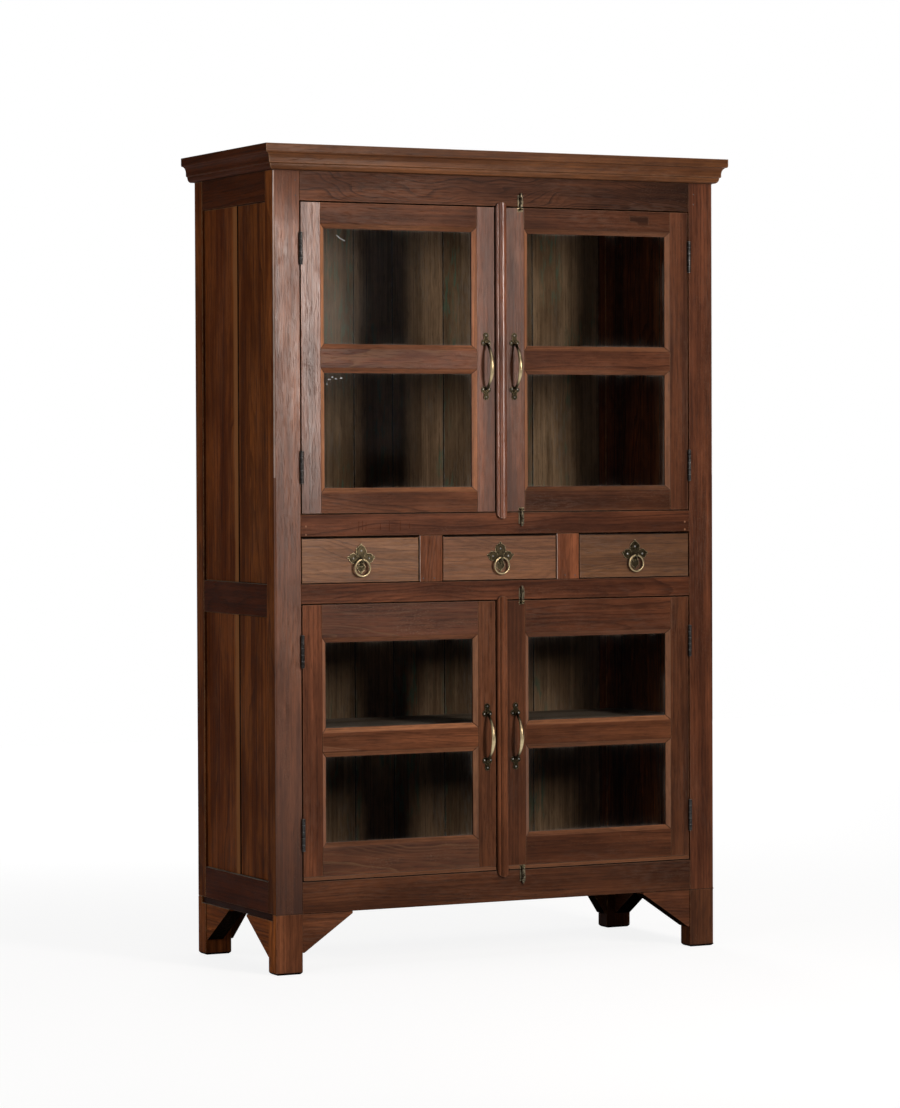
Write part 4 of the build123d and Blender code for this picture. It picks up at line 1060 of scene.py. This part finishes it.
# %% [markdown]
# ## Nails, pegs and marks
#
# The small things tell how the cabinet was made and mended: steel nails hold the brass plates, pegs
# lock the joints, a saw once slipped across the rail over the drawers, and a wedge of paler wood
# mends a door rail. They stand out a little, so they are pieces and not paint. Nail heads are spun
# from one small profile, and marks are thin slips with a given outline. Both are set on the face that
# a ray from the front meets first, so they follow the part when its sizes change.

# %% Heads and slips
HEAD_PROFILE = ((1.0, -0.3), (1.0, 0.3), (0.82, 0.68), (0.5, 0.92))
HEAD_SIDES = 14
AHEAD = Vector((0, -1, 0))


def first_face(node, x, z):
    """The point of a packed node that is met first by looking from the front."""
    mesh = frame["nodes"][node].data
    solid = BVHTree.FromPolygons([v.co for v in mesh.vertices], [f.vertices for f in mesh.polygons])
    return solid.ray_cast(Vector((x, FRONT_Y, z)) + AHEAD, -AHEAD)[0]


def in_metres(points):
    """Points given in millimetres."""
    return [[c * MM for c in point] for point in points]


def add_piece(name, shape, finish, body):
    """A new small piece from a finished shape, riding on a body."""
    piece = new_piece(name, shape, finish)
    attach(piece, body)
    return piece


def stack(shape, rings):
    """A closed skin over rings of points."""
    rows = [[shape.verts.new(point) for point in ring] for ring in rings]
    for lower, upper in zip(rows, rows[1:]):
        for i in range(len(lower)):
            j = (i + 1) % len(lower)
            shape.faces.new((lower[i], lower[j], upper[j], upper[i]))
    shape.faces.new(rows[0][::-1])
    shape.faces.new(rows[-1])


def heads(name, node, spots, radius, height, finish, body, slot, start=(0, 0)):
    """Domed heads on the front of a node, all in one piece; spots in millimetres from a start."""
    shape = bmesh.new()
    turn = AHEAD.to_track_quat("Z", "Y").to_matrix()
    angles = [math.tau * side / HEAD_SIDES for side in range(HEAD_SIDES)]
    for x, z in in_metres(spots):
        place = first_face(node, start[0] + x, start[1] + z)
        rings = []
        for share, rise in HEAD_PROFILE:
            wide = share * radius
            ring = [Vector((wide * math.cos(a), wide * math.sin(a), rise * height)) for a in angles]
            rings.append([place + turn @ point for point in ring])
        stack(shape, rings)
    return add_piece(name, shape, finish, body)


def slips(name, node, outlines, finish, body, proud=0.15 * MM):
    """Thin slips on the front of a node, each given by an outline of (x, z) points in millimetres."""
    shape = bmesh.new()
    for outline in map(in_metres, outlines):
        x, z = [sum(c) / len(outline) for c in zip(*outline)]
        face_y = first_face(node, x, z).y
        stack(shape, [[Vector((x, face_y + depth, z)) for x, z in outline] for depth in (proud, -proud)])
    return add_piece(name, shape, finish, body)


print("heads and slips ready")

# %% Nails in the brass plates
PULL_NAILS = ((0, 66.5), (7.2, 50.0), (-7.2, 50.0), (0, -66.5), (7.2, -50.0), (-7.2, -50.0))
RING_NAILS = ((0, 19.0), (18.5, 3.0), (-18.5, 3.0))
RING_WIRE = 2.2 * MM
PULL_HEAD, RING_HEAD = (1.7 * MM, 1.1 * MM), (2.0 * MM, 1.3 * MM)
for door in DOORS:
    pull = f"{door}_pull"
    low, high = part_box(pull)
    middle = (low + high) / 2
    start = (middle.x, middle.z)
    heads(f"{pull}_nails", pull, PULL_NAILS, *PULL_HEAD, nail_steel, door, "dark_iron", start)
for drawer in DRAWERS:
    low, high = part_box(f"{drawer}_ring")
    eye = ((low.x + high.x) / 2, high.z - RING_WIRE)
    plate = f"{drawer}_pull_plate"
    heads(f"{drawer}_plate_nails", plate, RING_NAILS, *RING_HEAD, nail_steel, drawer, "dark_iron", eye)
print("plates nailed:", len(DOORS) * 2 + len(DRAWERS))

# %% Pegs and nails in the wood
PEGS = ((-461, 947), (-461, 929), (461, 947), (461, 930))
NAILS = {
    "front_left_post": ((-482, 1676), (-482, 1644)),
    "front_right_post": ((485, 1672), (485, 1650)),
    "drawer_dividers": ((-185, 833), (-159, 833), (159, 834), (184, 833)),
}
PEG_HEAD, NAIL_HEAD = (2.2 * MM, 0.3 * MM), (1.5 * MM, 0.3 * MM)
rail = "upper_mid_rail"
pegs = heads(f"{rail}_pegs", rail, PEGS, *PEG_HEAD, lipping_teak, "carcass", "carcass_teak")
pegs.color = (1.8, 1.8, 1.7, 1)
for node, spots in NAILS.items():
    heads(f"{node}_nails", node, spots, *NAIL_HEAD, iron, "carcass", "dark_iron")
print("pegs:", len(PEGS), "nails:", sum(map(len, NAILS.values())))

# %% [markdown]
# The saw marks, the wedge and the patch are wood like the rails, in a darker or paler finish. On the
# top left pane a scratch and a few specks have dried white, so they get a chalky finish of their own.

# %% Marks on wood and glass
SAW_CUTS = (
    (-339, 936, 957), (-330, 938, 958), (-322, 934, 955), (-288, 938, 952), (-267, 935, 957),
    (-241, 934, 956), (-219, 940, 952),
)
WEDGE = ((-424, 481.5), (-424, 469.2), (-332, 470.2))
PATCH = ((322, 1620), (322, 1607), (341, 1606), (342, 1598), (371, 1598), (371, 1620))
SCRATCH = (
    (-383.5, 1563.0), (-381.5, 1563.5), (-374.0, 1557.4), (-362.5, 1551.8), (-363.0, 1550.6),
    (-375.2, 1556.0),
)
SPECKS = (
    (-404, 1257, 7, 2), (-396, 1261, 5, 3), (-388, 1258, 6, 2), (-376, 1259, 6, 3), (-407, 1246, 2, 6),
)
SAW_PROUD, CHALK_PROUD = 0.06 * MM, 0.05 * MM
chalk, residue, chalk_shader = new_finish("chalky_residue")
residue_cloud = residue.noise(residue.coords(), 500.0, detail=3.0)[0]
residue_colour = residue.mix(residue_cloud, (0.45, 0.47, 0.47), (0.85, 0.87, 0.87))
residue.fill(chalk_shader, Base_Color=residue_colour, Roughness=0.9)
cuts = [((x, low), (x + 1.4, low), (x + 1.8, high), (x + 0.9, high)) for x, low, high in SAW_CUTS]
specks = [((x, z), (x + w, z), (x + w - 1, z + h), (x + 1, z + h)) for x, z, w, h in SPECKS]
slips("saw_marks", "upper_mid_rail", cuts, side_rail_teak, "carcass", SAW_PROUD)
door = "lower_left_door"
slips("rail_wedge", f"{door}_frame", [WEDGE], lipping_teak, door)
door = "upper_right_door"
slips("rail_patch", f"{door}_frame", [PATCH], level_teak, door).color = (0.42, 0.40, 0.40, 1)
door = "upper_left_door"
slips("dried_marks", f"{door}_panes", [SCRATCH, *specks], chalk, door, CHALK_PROUD)
print("marks:", len(cuts), "saw cuts,", len(specks), "specks")

# %% [markdown]
